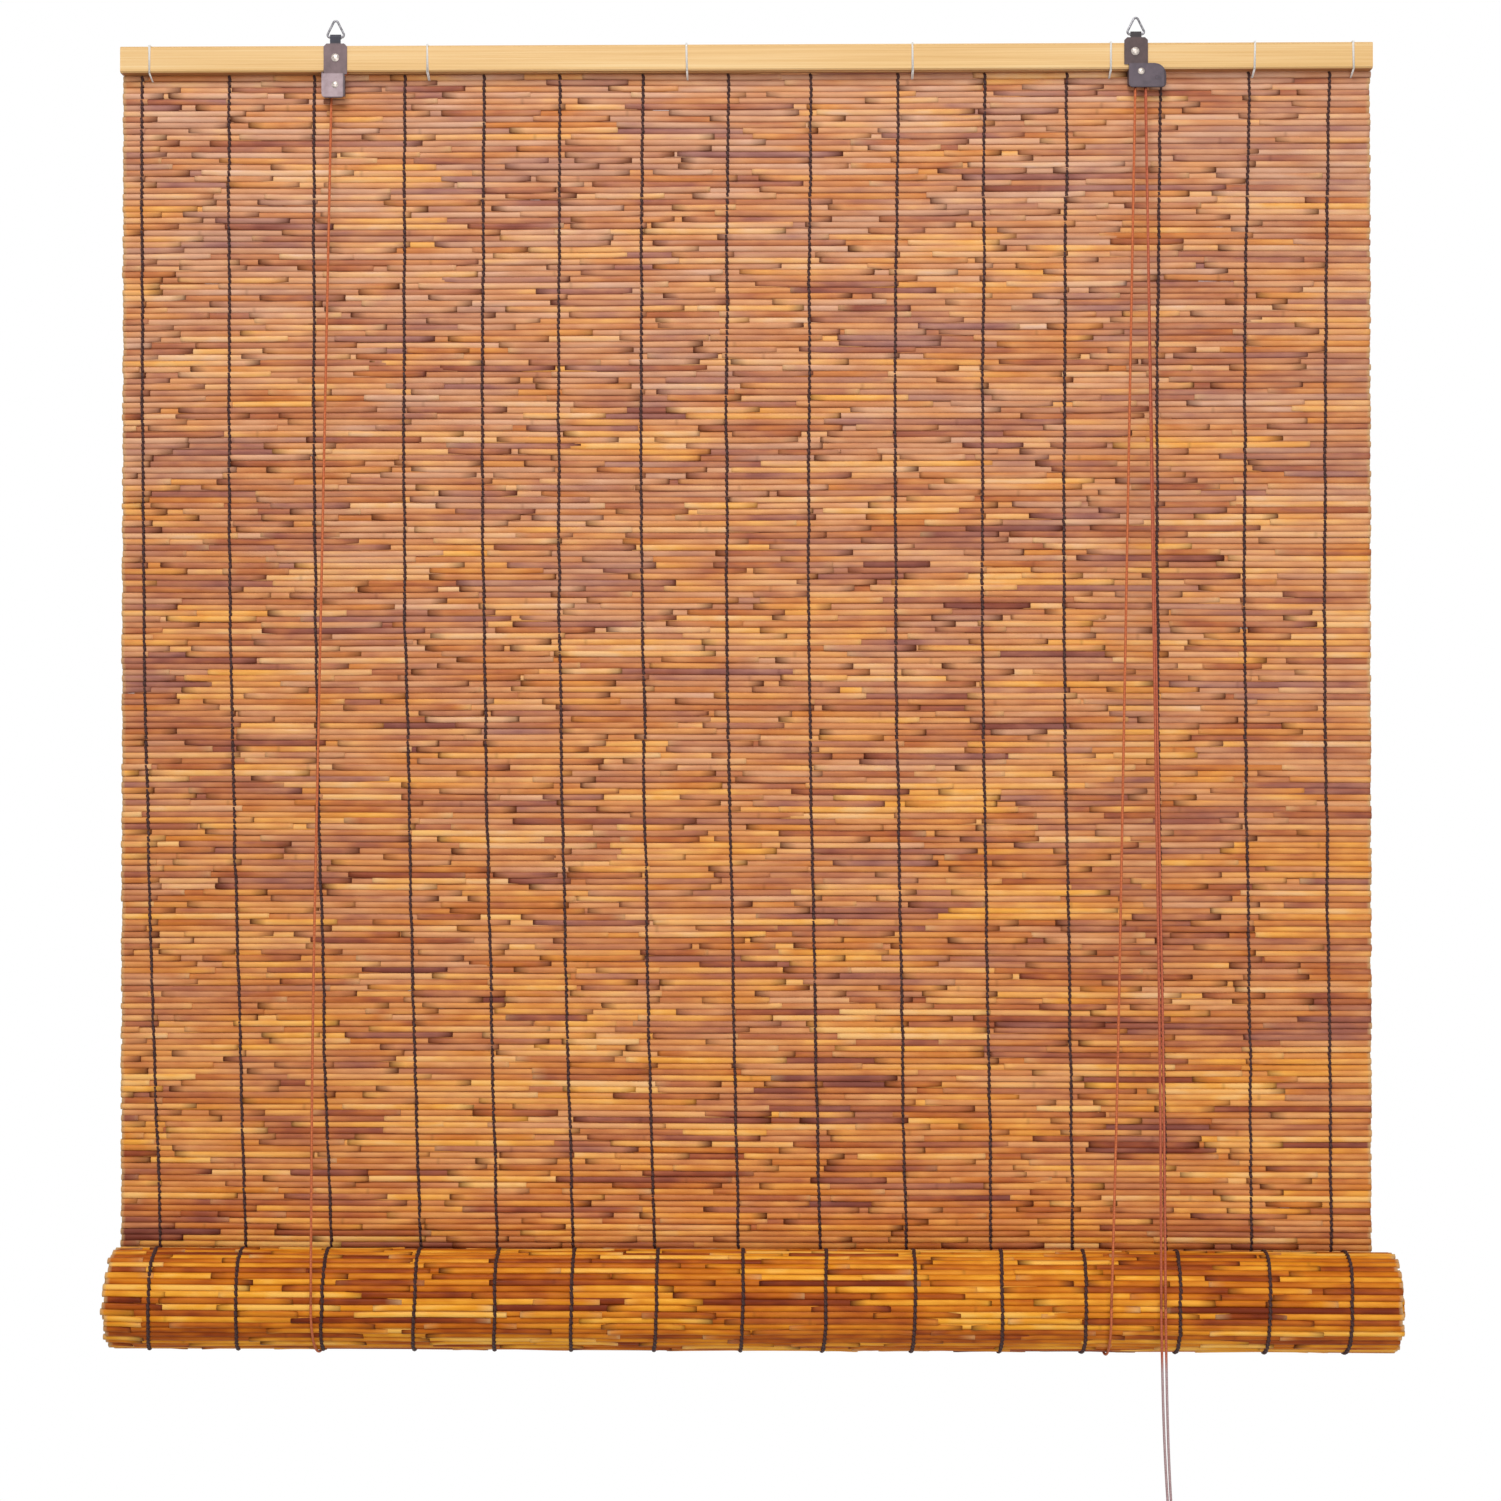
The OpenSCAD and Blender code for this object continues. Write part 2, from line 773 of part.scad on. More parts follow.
module front_run(x_top, x_low, y, z, angle) {
    low = front_point(angle);
    color([0.72, 0.38, 0.22])
    straight_cord([x_top, y, z - cord_drop], [x_low, low[0], low[1]]);
}

module left_cord_front_run() {
    front_run(left_lift_x, left_lift_x, back_groove_y, left_pulley_z, left_touch);
}

module right_cord_front_run() {
    front_run(right_pulley_x - wrap_r, right_lift_x, front_groove_y, right_pulley_z, right_touch);
}

// The part of a lift cord that carries the roll
module cord_bight(x, angle) {
    lead = 90 - angle;
    color([0.72, 0.38, 0.22])
    translate([x, roll_y, roll_z])
        rotate([90, 0, 90])
            rotate([0, 0, -180 - lead])
                rotate_extrude(angle = 180 + lead)
                    translate([bight_r, 0])
                        circle(d = cord_d);
}

module left_cord_bight() {
    cord_bight(left_lift_x, left_touch);
}

module right_cord_bight() {
    cord_bight(right_lift_x, right_touch);
}

module back_run(x_top, x_low) {
    color([0.72, 0.38, 0.22])
    straight_cord([x_top, back_run_y, staple_z], [x_low, back_run_y, roll_z]);
}

module left_cord_back_run() {
    back_run(left_staple_x, left_lift_x);
}

module right_cord_back_run() {
    back_run(right_staple_x, right_lift_x);
}

// A tube of 8 sides along points of the XZ plane
module tube_in_xz(route, y, d) {
    sides = 8;
    last = len(route) - 1;
    rings = [
        for (i = [0:last])
            let (
                ahead = route[min(i + 1, last)] - route[max(i - 1, 0)],
                along = ahead / norm(ahead),
                normal = [-along[1], along[0]]
            )
            for (k = [0:sides - 1])
                let (a = 360 * k / sides)
                [
                    route[i][0] + d / 2 * cos(a) * normal[0],
                    y + d / 2 * sin(a),
                    route[i][1] + d / 2 * cos(a) * normal[1]
                ]
    ];
    walls = [
        for (i = [0:last - 1], k = [0:sides - 1])
            let (
                a = i * sides + k,
                b = i * sides + (k + 1) % sides
            )
            each [[a, a + sides, b], [b, a + sides, b + sides]]
    ];
    first_end = [for (k = [0:sides - 1]) k];
    last_end = [for (k = [sides - 1:-1:0]) last * sides + k];
    polyhedron(rings, concat(walls, [first_end, last_end]));
}

module left_cord_cross_run() {
    color([0.72, 0.38, 0.22])
    tube_in_xz(cross_route, back_groove_y, cord_d);
}

module right_cord_turn() {
    color([0.72, 0.38, 0.22])
    tube_in_xz(turn_route, front_groove_y, cord_d);
}

// A wire staple through the mat into the rail
module cord_staple(x) {
    inner = staple_half - staple_d / 2;
    outer = staple_half + staple_d / 2;
    leg = rail_back - staple_bite;
    tip = leg - staple_tip;
    color([0.6, 0.6, 0.62])
    translate([x, 0, staple_z - staple_d / 2])
        linear_extrude(staple_d)
            polygon([
                [-outer, tip], [-inner, leg], [-inner, crown_y - staple_d / 2],
                [inner, crown_y - staple_d / 2], [inner, leg], [outer, tip],
                [outer, crown_y + staple_d / 2], [-outer, crown_y + staple_d / 2]
            ]);
}

module left_cord_staple() {
    cord_staple(left_staple_x);
}

module right_cord_staple() {
    cord_staple(right_staple_x);
}

// A stopper knot on top of a staple's crown
module stop_knot(x) {
    away = stop_knot_d / 2 + touch;
    color([0.72, 0.38, 0.22])
    translate([x, mat_y + reed_r + away, staple_z + staple_d / 2 + away])
        sphere(d = stop_knot_d);
}

module left_cord_knot() {
    stop_knot(left_staple_x);
}

module right_cord_knot() {
    stop_knot(right_staple_x);
}

module pull_cord_a_upper() {
    color([0.76, 0.46, 0.34])
    straight_cord(
        [pull_x, back_groove_y, lock_exit[1]],
        [pull_x + pull_spread, pull_a_point[0], pull_a_point[1]]
    );
}

module pull_cord_b_upper() {
    color([0.76, 0.46, 0.34])
    straight_cord(
        [pull_x, front_groove_y, lock_exit[1]],
        [pull_x, pull_b_point[0], pull_b_point[1]]
    );
}

module pull_cord_a_lower() {
    color([0.76, 0.46, 0.34])
    straight_cord(
        [pull_x + pull_spread, pull_a_point[0], pull_a_point[1]],
        [pull_mid[0] + cord_d / 2 + touch, pull_mid[1], pull_top_z]
    );
}

module pull_cord_b_lower() {
    color([0.76, 0.46, 0.34])
    straight_cord(
        [pull_x, pull_b_point[0], pull_b_point[1]],
        [pull_mid[0] - cord_d / 2 - touch, pull_mid[1], pull_top_z]
    );
}

// A turned wooden bell with a bore for the cords and a hollow for their knot
module cord_pull() {
    hollow_r = knot_d / 2 + knot_play;
    hollow_h = knot_d + knot_seat;
    h = pull_h;
    r = pull_r;
    color([0.8, 0.58, 0.36])
    translate([pull_mid[0], pull_mid[1], pull_top_z - pull_h])
        rotate_extrude()
            polygon([
                [pull_bore_r, h], [pull_bore_r, hollow_h], [hollow_r, hollow_h], [hollow_r, 0],
                [r * 0.85, 0], [r, h * 0.09], [r, h * 0.24], [r * 0.86, h * 0.47],
                [r * 0.62, h * 0.7], [r * 0.52, h * 0.88], [r * 0.45, h]
            ]);
}

module pull_knot() {
    color([0.76, 0.46, 0.34])
    translate([pull_mid[0], pull_mid[1], pull_top_z - pull_h + knot_seat + knot_d / 2])
        sphere(d = knot_d);
}

head_rail();
bottom_batten();
reed_mat();
reed_roll();
mat_stitch_threads();
roll_stitch_threads();
rail_ties();
left_bracket();
right_bracket();
left_hanger_loop();
right_hanger_loop();
left_bracket_nail();
right_bracket_nail();
left_pulley_axle();
right_pulley_axle();
left_pulley();
right_pulley();
lock_cam();
lock_cam_pin();
left_cord_front_run();
left_cord_bight();
left_cord_back_run();
left_cord_cross_run();
right_cord_front_run();
right_cord_bight();
right_cord_back_run();
right_cord_turn();
left_cord_staple();
right_cord_staple();
left_cord_knot();
right_cord_knot();
pull_cord_a_upper();
pull_cord_b_upper();
pull_cord_a_lower();
pull_cord_b_lower();
cord_pull();
pull_knot();
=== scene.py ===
"""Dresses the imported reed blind: every reed, twined thread and braided cord, with procedural materials.

Metres, in the frame of the CAD model: +X to the right, +Y to the wall, +Z up, and z = 0 at the hooks.
"""

import math
import random

import bpy
import numpy as np
from mathutils import Matrix, Vector


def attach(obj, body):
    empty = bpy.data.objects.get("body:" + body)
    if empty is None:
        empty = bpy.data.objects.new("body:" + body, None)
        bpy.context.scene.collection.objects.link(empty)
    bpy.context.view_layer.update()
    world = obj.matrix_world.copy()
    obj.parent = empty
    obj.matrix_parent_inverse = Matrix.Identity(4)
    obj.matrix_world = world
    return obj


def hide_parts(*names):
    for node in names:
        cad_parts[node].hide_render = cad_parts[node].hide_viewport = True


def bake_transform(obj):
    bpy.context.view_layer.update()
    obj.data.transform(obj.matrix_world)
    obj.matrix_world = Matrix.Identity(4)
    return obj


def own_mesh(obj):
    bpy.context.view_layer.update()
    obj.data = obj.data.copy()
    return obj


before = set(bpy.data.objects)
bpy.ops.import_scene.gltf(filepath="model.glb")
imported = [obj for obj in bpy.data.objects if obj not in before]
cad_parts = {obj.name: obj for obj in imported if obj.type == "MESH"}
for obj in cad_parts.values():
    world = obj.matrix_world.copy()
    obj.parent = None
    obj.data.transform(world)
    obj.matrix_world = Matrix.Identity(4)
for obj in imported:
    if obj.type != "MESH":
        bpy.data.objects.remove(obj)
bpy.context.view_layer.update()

# Sizes repeated from the CAD source
WIDTH = 0.9
PITCH = 0.0043
MAT_ROWS, ROLL_ROWS = 207, 177
MAT_Y, ROW_0_Z = 0.00905, -0.02095
ROLL_Y, ROLL_Z, ROLL_R = -0.02605, -0.91105, 0.0351
TURN_STEP = 0.0043
ROLL_SHIFT = 0.006
THREADS, THREAD_ROW = 15, 4
THREAD_TOP = (-0.43605, 0.0612)
THREAD_END = (-0.42345, 0.0603)
THREAD_ROLL = (-0.41175, 0.059361)
THREAD_DRIFTS = (
    0, 0.032, 0.045, 0.12, 0.05, -0.05, -0.071, -0.062,
    -0.09, -0.062, -0.04, -0.073, 0.026, 0.057, 0,
)
THREAD_BOW, THREAD_BOW_REACH = 0.00369, 0.82
TIE_XS = (-0.428706, -0.22797, -0.04131, 0.12087, 0.262854, 0.36567, 0.43605)
LEFT_PULLEY, RIGHT_PULLEY = (-0.2943, -0.0456), (0.2843, -0.0381)
FRONT_GROOVE_Y, BACK_GROOVE_Y = 0.0004, 0.003
WRAP_R, CORD_DROP, CORD_D = 0.00365, 0.0049, 0.0018
LEFT_LIFT_X, RIGHT_LIFT_X, PULL_X = -0.29795, 0.2538, 0.28795
RIGHT_STAPLE_X, STAPLE_Z = 0.2768, -0.0317
BIGHT_R = 0.0383
GROOVE_CORD_Z = -0.03445
CLIMB_ANGLE = 35
PULL_SPREAD, PULL_DRIFT, PULL_TOP_Z = 0.003, 0.006, -1.068196
LIFT = 0.78

# Rows that still hang under the rail when the roll is up, which make a piece of their own
KEPT_ROWS = 25
# Rows of the roll's outer turn
OUTER_ROWS = 52

# Reeds: half thickness along the mat and through it, and the mean, spread and limits of their lengths
REED_ALONG = (0.0024, 0.00266)
REED_THROUGH = (0.0019, 0.0021)
REED_LENGTH = (0.064, 0.04)
REED_LENGTH_LIMITS = (0.03, 0.22)
# The share of its length that is left of a row's first reed
FIRST_REED_SHARE = (0.3, 1.0)
# How far a reed laps over the next, and the largest share of a reed that one lap takes
REED_LAP, REED_LAP_SHARE = (0.01, 0.03), 0.6
REED_TAPER = 0.07
REED_SIDES = 8
# Rings of a reed, by their distance from its ends, and those between them
END_RINGS = (0.0, 0.003, 0.012)
RINGS_FROM, RINGS_TO, RINGS_STEP = 0.045, 0.03, 0.05
# Joints: the shortest reed that has one, how often, and their distance from the reed's ends. Then their half
# length, swelling and stain
JOINT_REED, JOINT_CHANCE, JOINT_MARGIN = 0.12, 0.4, 0.03
JOINT_HALF, JOINT_SWELL, JOINT_DARK = 0.002, 0.07, 0.25
# How far a reed stands off the middle of the mat, from the room side to the wall side, and off its row
REED_PROUD = (-0.0005, 0.0001)
ROW_JITTER = 0.00025
REED_BOW = 0.0001
LONG_SWAY, SHORT_SWAY = 0.0003, 0.0002
# Where two reeds lap: how far the one stands before the mat at its end, the other behind it, and both aside
TIP_BEFORE, TIP_BEHIND, TIP_ASIDE = 0.0009, 0.0006, 0.0003
# Free ends: their thickness and how far it reaches, and the length of a coloured tip, dark or freshly cut
TIP_SIZE, TIP_REACH = 0.84, 0.008
TIP_LENGTH = (0.004, 0.01)
DARK_TIP_CHANCE, DARK_TIP, CUT_TIP = 0.65, (0.45, 1.0), (0.0, 0.7)
MOST_DARK, MOST_CUT = 0.95, 0.8
# How far the rows' ends stand out of line
MAT_RAGGED, ROLL_RAGGED = 0.0006, 0.0018

# Threads: radius, sides, sideways wander and how much of it goes on to the next row
TWINE_R, TWINE_SIDES = 0.0012, 5
TWINE_WANDER, TWINE_MEMORY = 0.00025, 0.9
# A strand's points on each row: place in the row's pitch, distance from the mat's middle, and shift sideways
TWINE_STITCH = ((-0.5, 0.0, 0.0004), (-0.2, 0.0023, 0.0002), (0.2, 0.0023, -0.0002))
# Lean of the leftmost thread above the roll, from a share of the mat's height on
THREAD_LEAN, THREAD_LEAN_FROM = 0.003, 0.8
# How far the threads on the roll stand apart, by quarters of its turn
ROLL_QUARTERS = (0.0, 0.25, 0.5, 0.75, 1.0)
ROLL_THREAD_SPREAD = (0.0, 0.003, 0.0, 0.012, 0.012)

# White ties: the way of a turn as (y, z), the thread's radius and sides, and how far it stands and leans aside
TIE_ROUTE = (
    (-0.00145, -0.0366), (-0.00145, -0.0172), (-0.0012, -0.0166), (0.0063, -0.0166), (0.0074, -0.0172),
    (0.0116, -0.0194), (0.0116, -0.0398), (0.0108, -0.0402), (0.007, -0.0401), (-0.00145, -0.0366),
)
TIE_R, TIE_SIDES = 0.0004, 6
TIE_ASIDE, TIE_LEAN, TIE_MIDDLE_Z = 0.00033, 0.0003, -0.03

# Cords: sides, the roll's front and back in degrees from its top, and the steps of each run
CORD_SIDES = 10
FRONT_ANGLE, BACK_ANGLE = 90, 270
FREE_STEPS, TOUCH_STEPS, BIGHT_STEPS, BACK_STEPS, PULL_STEPS = 30, 14, 32, 40, 24
# How much closer under the roll the bights lie than in the CAD model
BIGHT_SNUG = 0.001
# The gap between the pull cords at the pull, and the share of their way aside that is straight
PULL_GAP, PULL_STRAIGHT = 0.0001, 0.35

# Seeds of the random draws
MAT_SEED, MAT_TWINE_SEED_STEP = 10, 100
ROLL_SEED, ROLL_CORE_SEED, ROLL_TWINE_SEED = 30, 31, 300
TIE_SEED = 7
GRAIN_SEEDS, TIE_GRAIN_SEEDS, CORD_GRAIN_SEED = 100.0, 10.0, 0.5

# The bake map: half the width that it holds of a row, and the share of a strip that stays free at its side
BAKE_HALF, BAKE_FREE = 0.46, 0.1

# Colours of reeds from dark to pale as sRGB bytes: golden on the roll, with more and more mauve up the mat,
#  partly the reeds' own hue and partly painted light for the pinker glow of light through the hanging mat
HUES = (0.0, 0.16, 0.32, 0.5, 0.68, 0.84, 1.0)
MAUVE_REEDS = (
    (148, 98, 90), (170, 119, 106), (188, 136, 112), (206, 154, 122),
    (216, 167, 138), (226, 179, 140), (224, 186, 168),
)
GOLD_REEDS = (
    (112, 38, 2), (142, 58, 4), (174, 84, 4), (202, 112, 8),
    (222, 139, 22), (240, 165, 44), (246, 185, 82),
)
# The first colour is painted shade for the grooves where each reed meets the rows above and below it
VALLEY_SHADE, DARK_REED, CUT_REED = (120, 50, 14), (76, 29, 12), (226, 186, 132)
HUE_WEIGHTS = (1, 7, 18, 27, 26, 17, 4)
HUE_MIDDLE, HUE_JITTER = 0.5, 0.06
# Shares of mauve at the top of the mat, at its end and on the roll: their rise up the mat is painted light, the
# glow of light through the hanging mat
MAUVE_TOP, MAUVE_END, MAUVE_ROLL = 0.75, 0.26, 0.04
# How far the reeds' tones differ at the top of the mat and at its end, as a share of what they do on the roll.
#  The smaller spread up the mat is painted light, the haze of light through the mat from behind
SPREAD_TOP, SPREAD_END = 0.58, 0.82
PATCH_TONE, PATCH_MAUVE = 0.1, 0.2
# The last rows above the roll are painted paler, painted light against the shadow that the roll casts on them:
# by
#  how much, from how many rows above it, and over how many
NEAR_ROLL_PAINTED_LIGHT, NEAR_ROLL_ROWS, NEAR_ROLL_FADE = 0.14, 10, 8

# Other colours
LIFT_COLOURS = (164, 74, 42), (226, 128, 78)
PULL_COLOURS = (156, 68, 44), (212, 118, 84)
# These colours are painted light: the pull cords' pale glow against the bright light behind them below the roll
PAINTED_GLOW_COLOURS = (150, 116, 116), (202, 172, 172)
KNOT_COLOURS = (138, 58, 30), (206, 112, 66)
WHITE_COLOURS = (238, 232, 222), (255, 253, 250)
TWINE_COLOURS = (40, 22, 24), (88, 52, 46)
BAMBOO_COLOURS = (211, 166, 101), (225, 184, 124), (233, 200, 146)
WOOD_COLOURS = (134, 78, 40), (186, 122, 68), (214, 158, 100)
# The first two colours are painted shade: under the rail, and a painted shadow along the pulley housings' right
# and lower edges
UNDER_RAIL_SHADE, PLATE_RIM_SHADOW, FLOOR_COLOUR = (150, 88, 40), (44, 30, 36), (242, 242, 240)

# Materials: where most values of a noise lie, and lengths in metres of a braid's pattern and of soft edges
NOISE_MIDDLE = (0.3, 0.7)
BRAID_LENGTH, BRAID_STRANDS = 0.0022, 2
TWINE_TWIST, LATHE_TWIST = 1500.0, 9000.0
UNDER_BLUR, PAINT_BLUR, RIM_BLUR = 0.0003, 0.0004, 0.0005
# Where the pull cords turn pale below the roll, from and to, along the cord: painted light for the glow of
# light
#  behind them
PAINTED_GLOW_SPAN = (0.032, 0.044)

# Stage: strength of the world as a light and as it is seen, the floor's glow and edges, and what the lamps face
WORLD_LIGHT, WORLD_SEEN, FLOOR_GLOW = 0.32, 1.0, 0.5
FLOOR_Z, FLOOR_HALF_X, FLOOR_FRONT_Y, FLOOR_BACK_Y = -2.72, 2.2, -1.6, 3.4
WHITE = (1.0, 1.0, 1.0, 1.0)
LAMP_TARGET = (0.0, 0.0, -0.5)

# The photograph's camera
CAMERA_AT = (0.0275, -1.6653, -0.5348)
CAMERA_YAW, CAMERA_PITCH, CAMERA_ROLL, CAMERA_FOV = 0.784, 0.351, 0.021, 35.827


def linear(rgb):
    """An sRGB colour in bytes as a linear colour with alpha."""
    shares = [c / 255 for c in rgb]
    return (*(c / 12.92 if c < 0.04045 else ((c + 0.055) / 1.055) ** 2.4 for c in shares), 1.0)


def smooth(t):
    t = np.clip(t, 0.0, 1.0)
    return t * t * (3 - 2 * t)


# Materials


class Shader:
    """A material whose nodes are made with short calls."""

    def __init__(self, name, roughness=0.5, metallic=0.0, specular=0.5):
        self.material = bpy.data.materials.new(name)
        self.material.use_nodes = True
        self.nodes = self.material.node_tree.nodes
        self.links = self.material.node_tree.links
        self.bsdf = self.nodes["Principled BSDF"]
        self.bsdf.inputs["Roughness"].default_value = roughness
        self.bsdf.inputs["Metallic"].default_value = metallic
        self.bsdf.inputs["Specular IOR Level"].default_value = specular

    def fill(self, socket, value):
        """Links an output to a socket, or sets a plain value there."""
        if isinstance(value, bpy.types.NodeSocket):
            self.links.new(value, socket)
        else:
            socket.default_value = value

    def attribute(self, name, output="Fac"):
        node = self.nodes.new("ShaderNodeAttribute")
        node.attribute_name = name
        return node.outputs[output]

    def place(self):
        """Where a point of a CAD node is, in metres."""
        return self.nodes.new("ShaderNodeTexCoord").outputs["Object"]

    def stretch(self, vector, by):
        node = self.nodes.new("ShaderNodeVectorMath")
        node.operation = "MULTIPLY"
        self.fill(node.inputs[0], vector)
        node.inputs[1].default_value = by
        return node.outputs[0]

    def noise(self, vector, by, detail=3.0, roughness=0.55):
        node = self.nodes.new("ShaderNodeTexNoise")
        self.fill(node.inputs["Vector"], self.stretch(vector, by))
        node.inputs["Scale"].default_value = 1.0
        node.inputs["Detail"].default_value = detail
        node.inputs["Roughness"].default_value = roughness
        return node.outputs["Fac"]

    def math(self, operation, a, b=0.0):
        node = self.nodes.new("ShaderNodeMath")
        node.operation = operation
        self.fill(node.inputs[0], a)
        self.fill(node.inputs[1], b)
        return node.outputs[0]

    def part(self, vector, axis):
        """One coordinate of a vector."""
        node = self.nodes.new("ShaderNodeSeparateXYZ")
        self.fill(node.inputs[0], vector)
        return node.outputs[axis]

    def span(self, value, source, target=(0.0, 1.0)):
        """A value moved from the source range into the target range, and kept inside it."""
        node = self.nodes.new("ShaderNodeMapRange")
        self.fill(node.inputs["Value"], value)
        for name, number in zip(("From Min", "From Max", "To Min", "To Max"), (*source, *target)):
            node.inputs[name].default_value = number
        return node.outputs[0]

    def ramp(self, value, places, colours):
        node = self.nodes.new("ShaderNodeValToRGB")
        self.fill(node.inputs["Fac"], value)
        stops = node.color_ramp.elements
        while len(stops) < len(places):
            stops.new(1.0)
        for stop, place, colour in zip(stops, places, colours):
            stop.position = place
            stop.color = linear(colour)
        return node.outputs["Color"]

    def mix(self, share, a, b):
        node = self.nodes.new("ShaderNodeMix")
        node.data_type = "RGBA"
        self.fill(node.inputs["Factor"], share)
        self.fill(node.inputs[6], a)
        self.fill(node.inputs[7], b)
        return node.outputs[2]

    def bump(self, height, distance):
        node = self.nodes.new("ShaderNodeBump")
        node.inputs["Strength"].default_value = 1.0
        node.inputs["Distance"].default_value = distance
        self.fill(node.inputs["Height"], height)
        self.fill(self.bsdf.inputs["Normal"], node.outputs[0])

    def finish(self, colour, roughness=None):
        self.fill(self.bsdf.inputs["Base Color"], colour)
        if roughness is not None:
            self.fill(self.bsdf.inputs["Roughness"], roughness)
        return self.material


def reed_material():
    """Reed skin: golden and mauve patches, long streaks, dark ends and joints, painted shade in the grooves
    between rows, and a soft sheen.
    """
    s = Shader("reed", specular=0.1)
    grain = s.attribute("grain", "Vector")
    streaks = s.noise(grain, (26.0, 5.0, 3.0), detail=4.0, roughness=0.6)
    blotches = s.noise(grain, (30.0, 0.7, 1.7), detail=2.0)
    hue = s.math("ADD", s.attribute("hue"), s.span(streaks, (0.25, 0.75), (-0.11, 0.11)))
    hue = s.math("ADD", hue, s.span(blotches, NOISE_MIDDLE, (-0.17, 0.15)))
    patches = s.noise(grain, (9.0, 0.6, 2.9), detail=2.0)
    mauve = s.math("MULTIPLY", s.attribute("mauve"), s.span(patches, (0.34, 0.66), (0.55, 1.45)))
    colour = s.mix(mauve, s.ramp(hue, HUES, GOLD_REEDS), s.ramp(hue, HUES, MAUVE_REEDS))
    # Painted shade: the upper and lower sides of each reed, where it meets the next rows, are drawn darker
    around = s.math("MULTIPLY", s.part(grain, 1), 2 * math.pi)
    valley = s.math("ABSOLUTE", s.math("COSINE", around))
    colour = s.mix(s.span(valley, (0.6, 1.0), (0.0, 0.4)), colour, linear(VALLEY_SHADE))
    colour = s.mix(s.attribute("dark"), colour, linear(DARK_REED))
    colour = s.mix(s.attribute("cut"), colour, linear(CUT_REED))
    s.bump(streaks, distance=0.00025)
    return s.finish(colour, roughness=s.span(streaks, NOISE_MIDDLE, (0.36, 0.52)))


def twine_material():
    """Dark twisted thread."""
    s = Shader("dark_twine", specular=0.35)
    grain = s.attribute("grain", "Vector")
    along = s.math("MULTIPLY", s.part(grain, 0), TWINE_TWIST)
    around = s.math("MULTIPLY", s.part(grain, 1), 2 * math.pi)
    ply = s.math("SINE", s.math("MULTIPLY", s.math("ADD", along, around), 2.0))
    fibre = s.noise(grain, (900.0, 4.0, 1.0))
    s.bump(ply, distance=0.0002)
    colour = s.ramp(fibre, NOISE_MIDDLE, TWINE_COLOURS)
    return s.finish(colour, roughness=s.span(fibre, NOISE_MIDDLE, (0.55, 0.8)))


def cord_material(name, colours, glow_colours=None):
    """Braided cord: crossed strands that stand proud of each other. colours are a dark and a pale one, and
    the last argument paler, greyish pink ones that it takes on along the cord below the roll, painted light
    for the glow of light behind it."""
    s = Shader(name, specular=0.3)
    grain = s.attribute("grain", "Vector")
    along = s.math("MULTIPLY", s.part(grain, 0), 2 * math.pi / BRAID_LENGTH)
    around = s.math("MULTIPLY", s.part(grain, 1), 2 * math.pi * BRAID_STRANDS)
    one_way = s.math("SINE", s.math("ADD", along, around))
    other_way = s.math("SINE", s.math("SUBTRACT", along, around))
    braid = s.math("MULTIPLY", one_way, other_way)
    fibre = s.noise(grain, (500.0, 9.0, 1.0))
    share = s.math("ADD", s.span(braid, (-1.0, 1.0), (0.0, 0.6)), s.span(fibre, NOISE_MIDDLE, (0.0, 0.4)))
    places = (0.1, 0.9)
    colour = s.ramp(share, places, colours)
    # Painted light: below the roll the cord turns pale pinkish grey for the glow of light behind it
    if glow_colours:
        colour = s.mix(s.span(s.part(grain, 0), PAINTED_GLOW_SPAN), colour, s.ramp(share, places, glow_colours))
    s.bump(braid, distance=0.00015)
    return s.finish(colour, roughness=s.span(fibre, NOISE_MIDDLE, (0.6, 0.85)))


def bamboo_material(name, under_z=None):
    """Split bamboo: fine straight fibres along the slat, and faint broad bands. From under_z down it is
    darkened with painted shade, the shade under the rail."""
    s = Shader(name, specular=0.4)
    place = s.place()
    fibres = s.noise(place, (5.0, 900.0, 900.0), detail=4.0, roughness=0.65)
    bands = s.noise(place, (3.0, 120.0, 130.0), detail=2.0)
    share = s.math("ADD", s.math("MULTIPLY", fibres, 0.6), s.math("MULTIPLY", bands, 0.4))
    colour = s.ramp(share, (0.36, 0.5, 0.66), BAMBOO_COLOURS)
    if under_z is not None:
        # Painted shade: the rail's underside and lowest edge are drawn darker, where shade falls under the rail
        under = s.span(s.part(place, 2), (under_z + UNDER_BLUR, under_z), (0.0, 0.85))
        colour = s.mix(under, colour, linear(UNDER_RAIL_SHADE))
    s.bump(fibres, distance=0.0002)
    return s.finish(colour, roughness=s.span(fibres, NOISE_MIDDLE, (0.4, 0.55)))


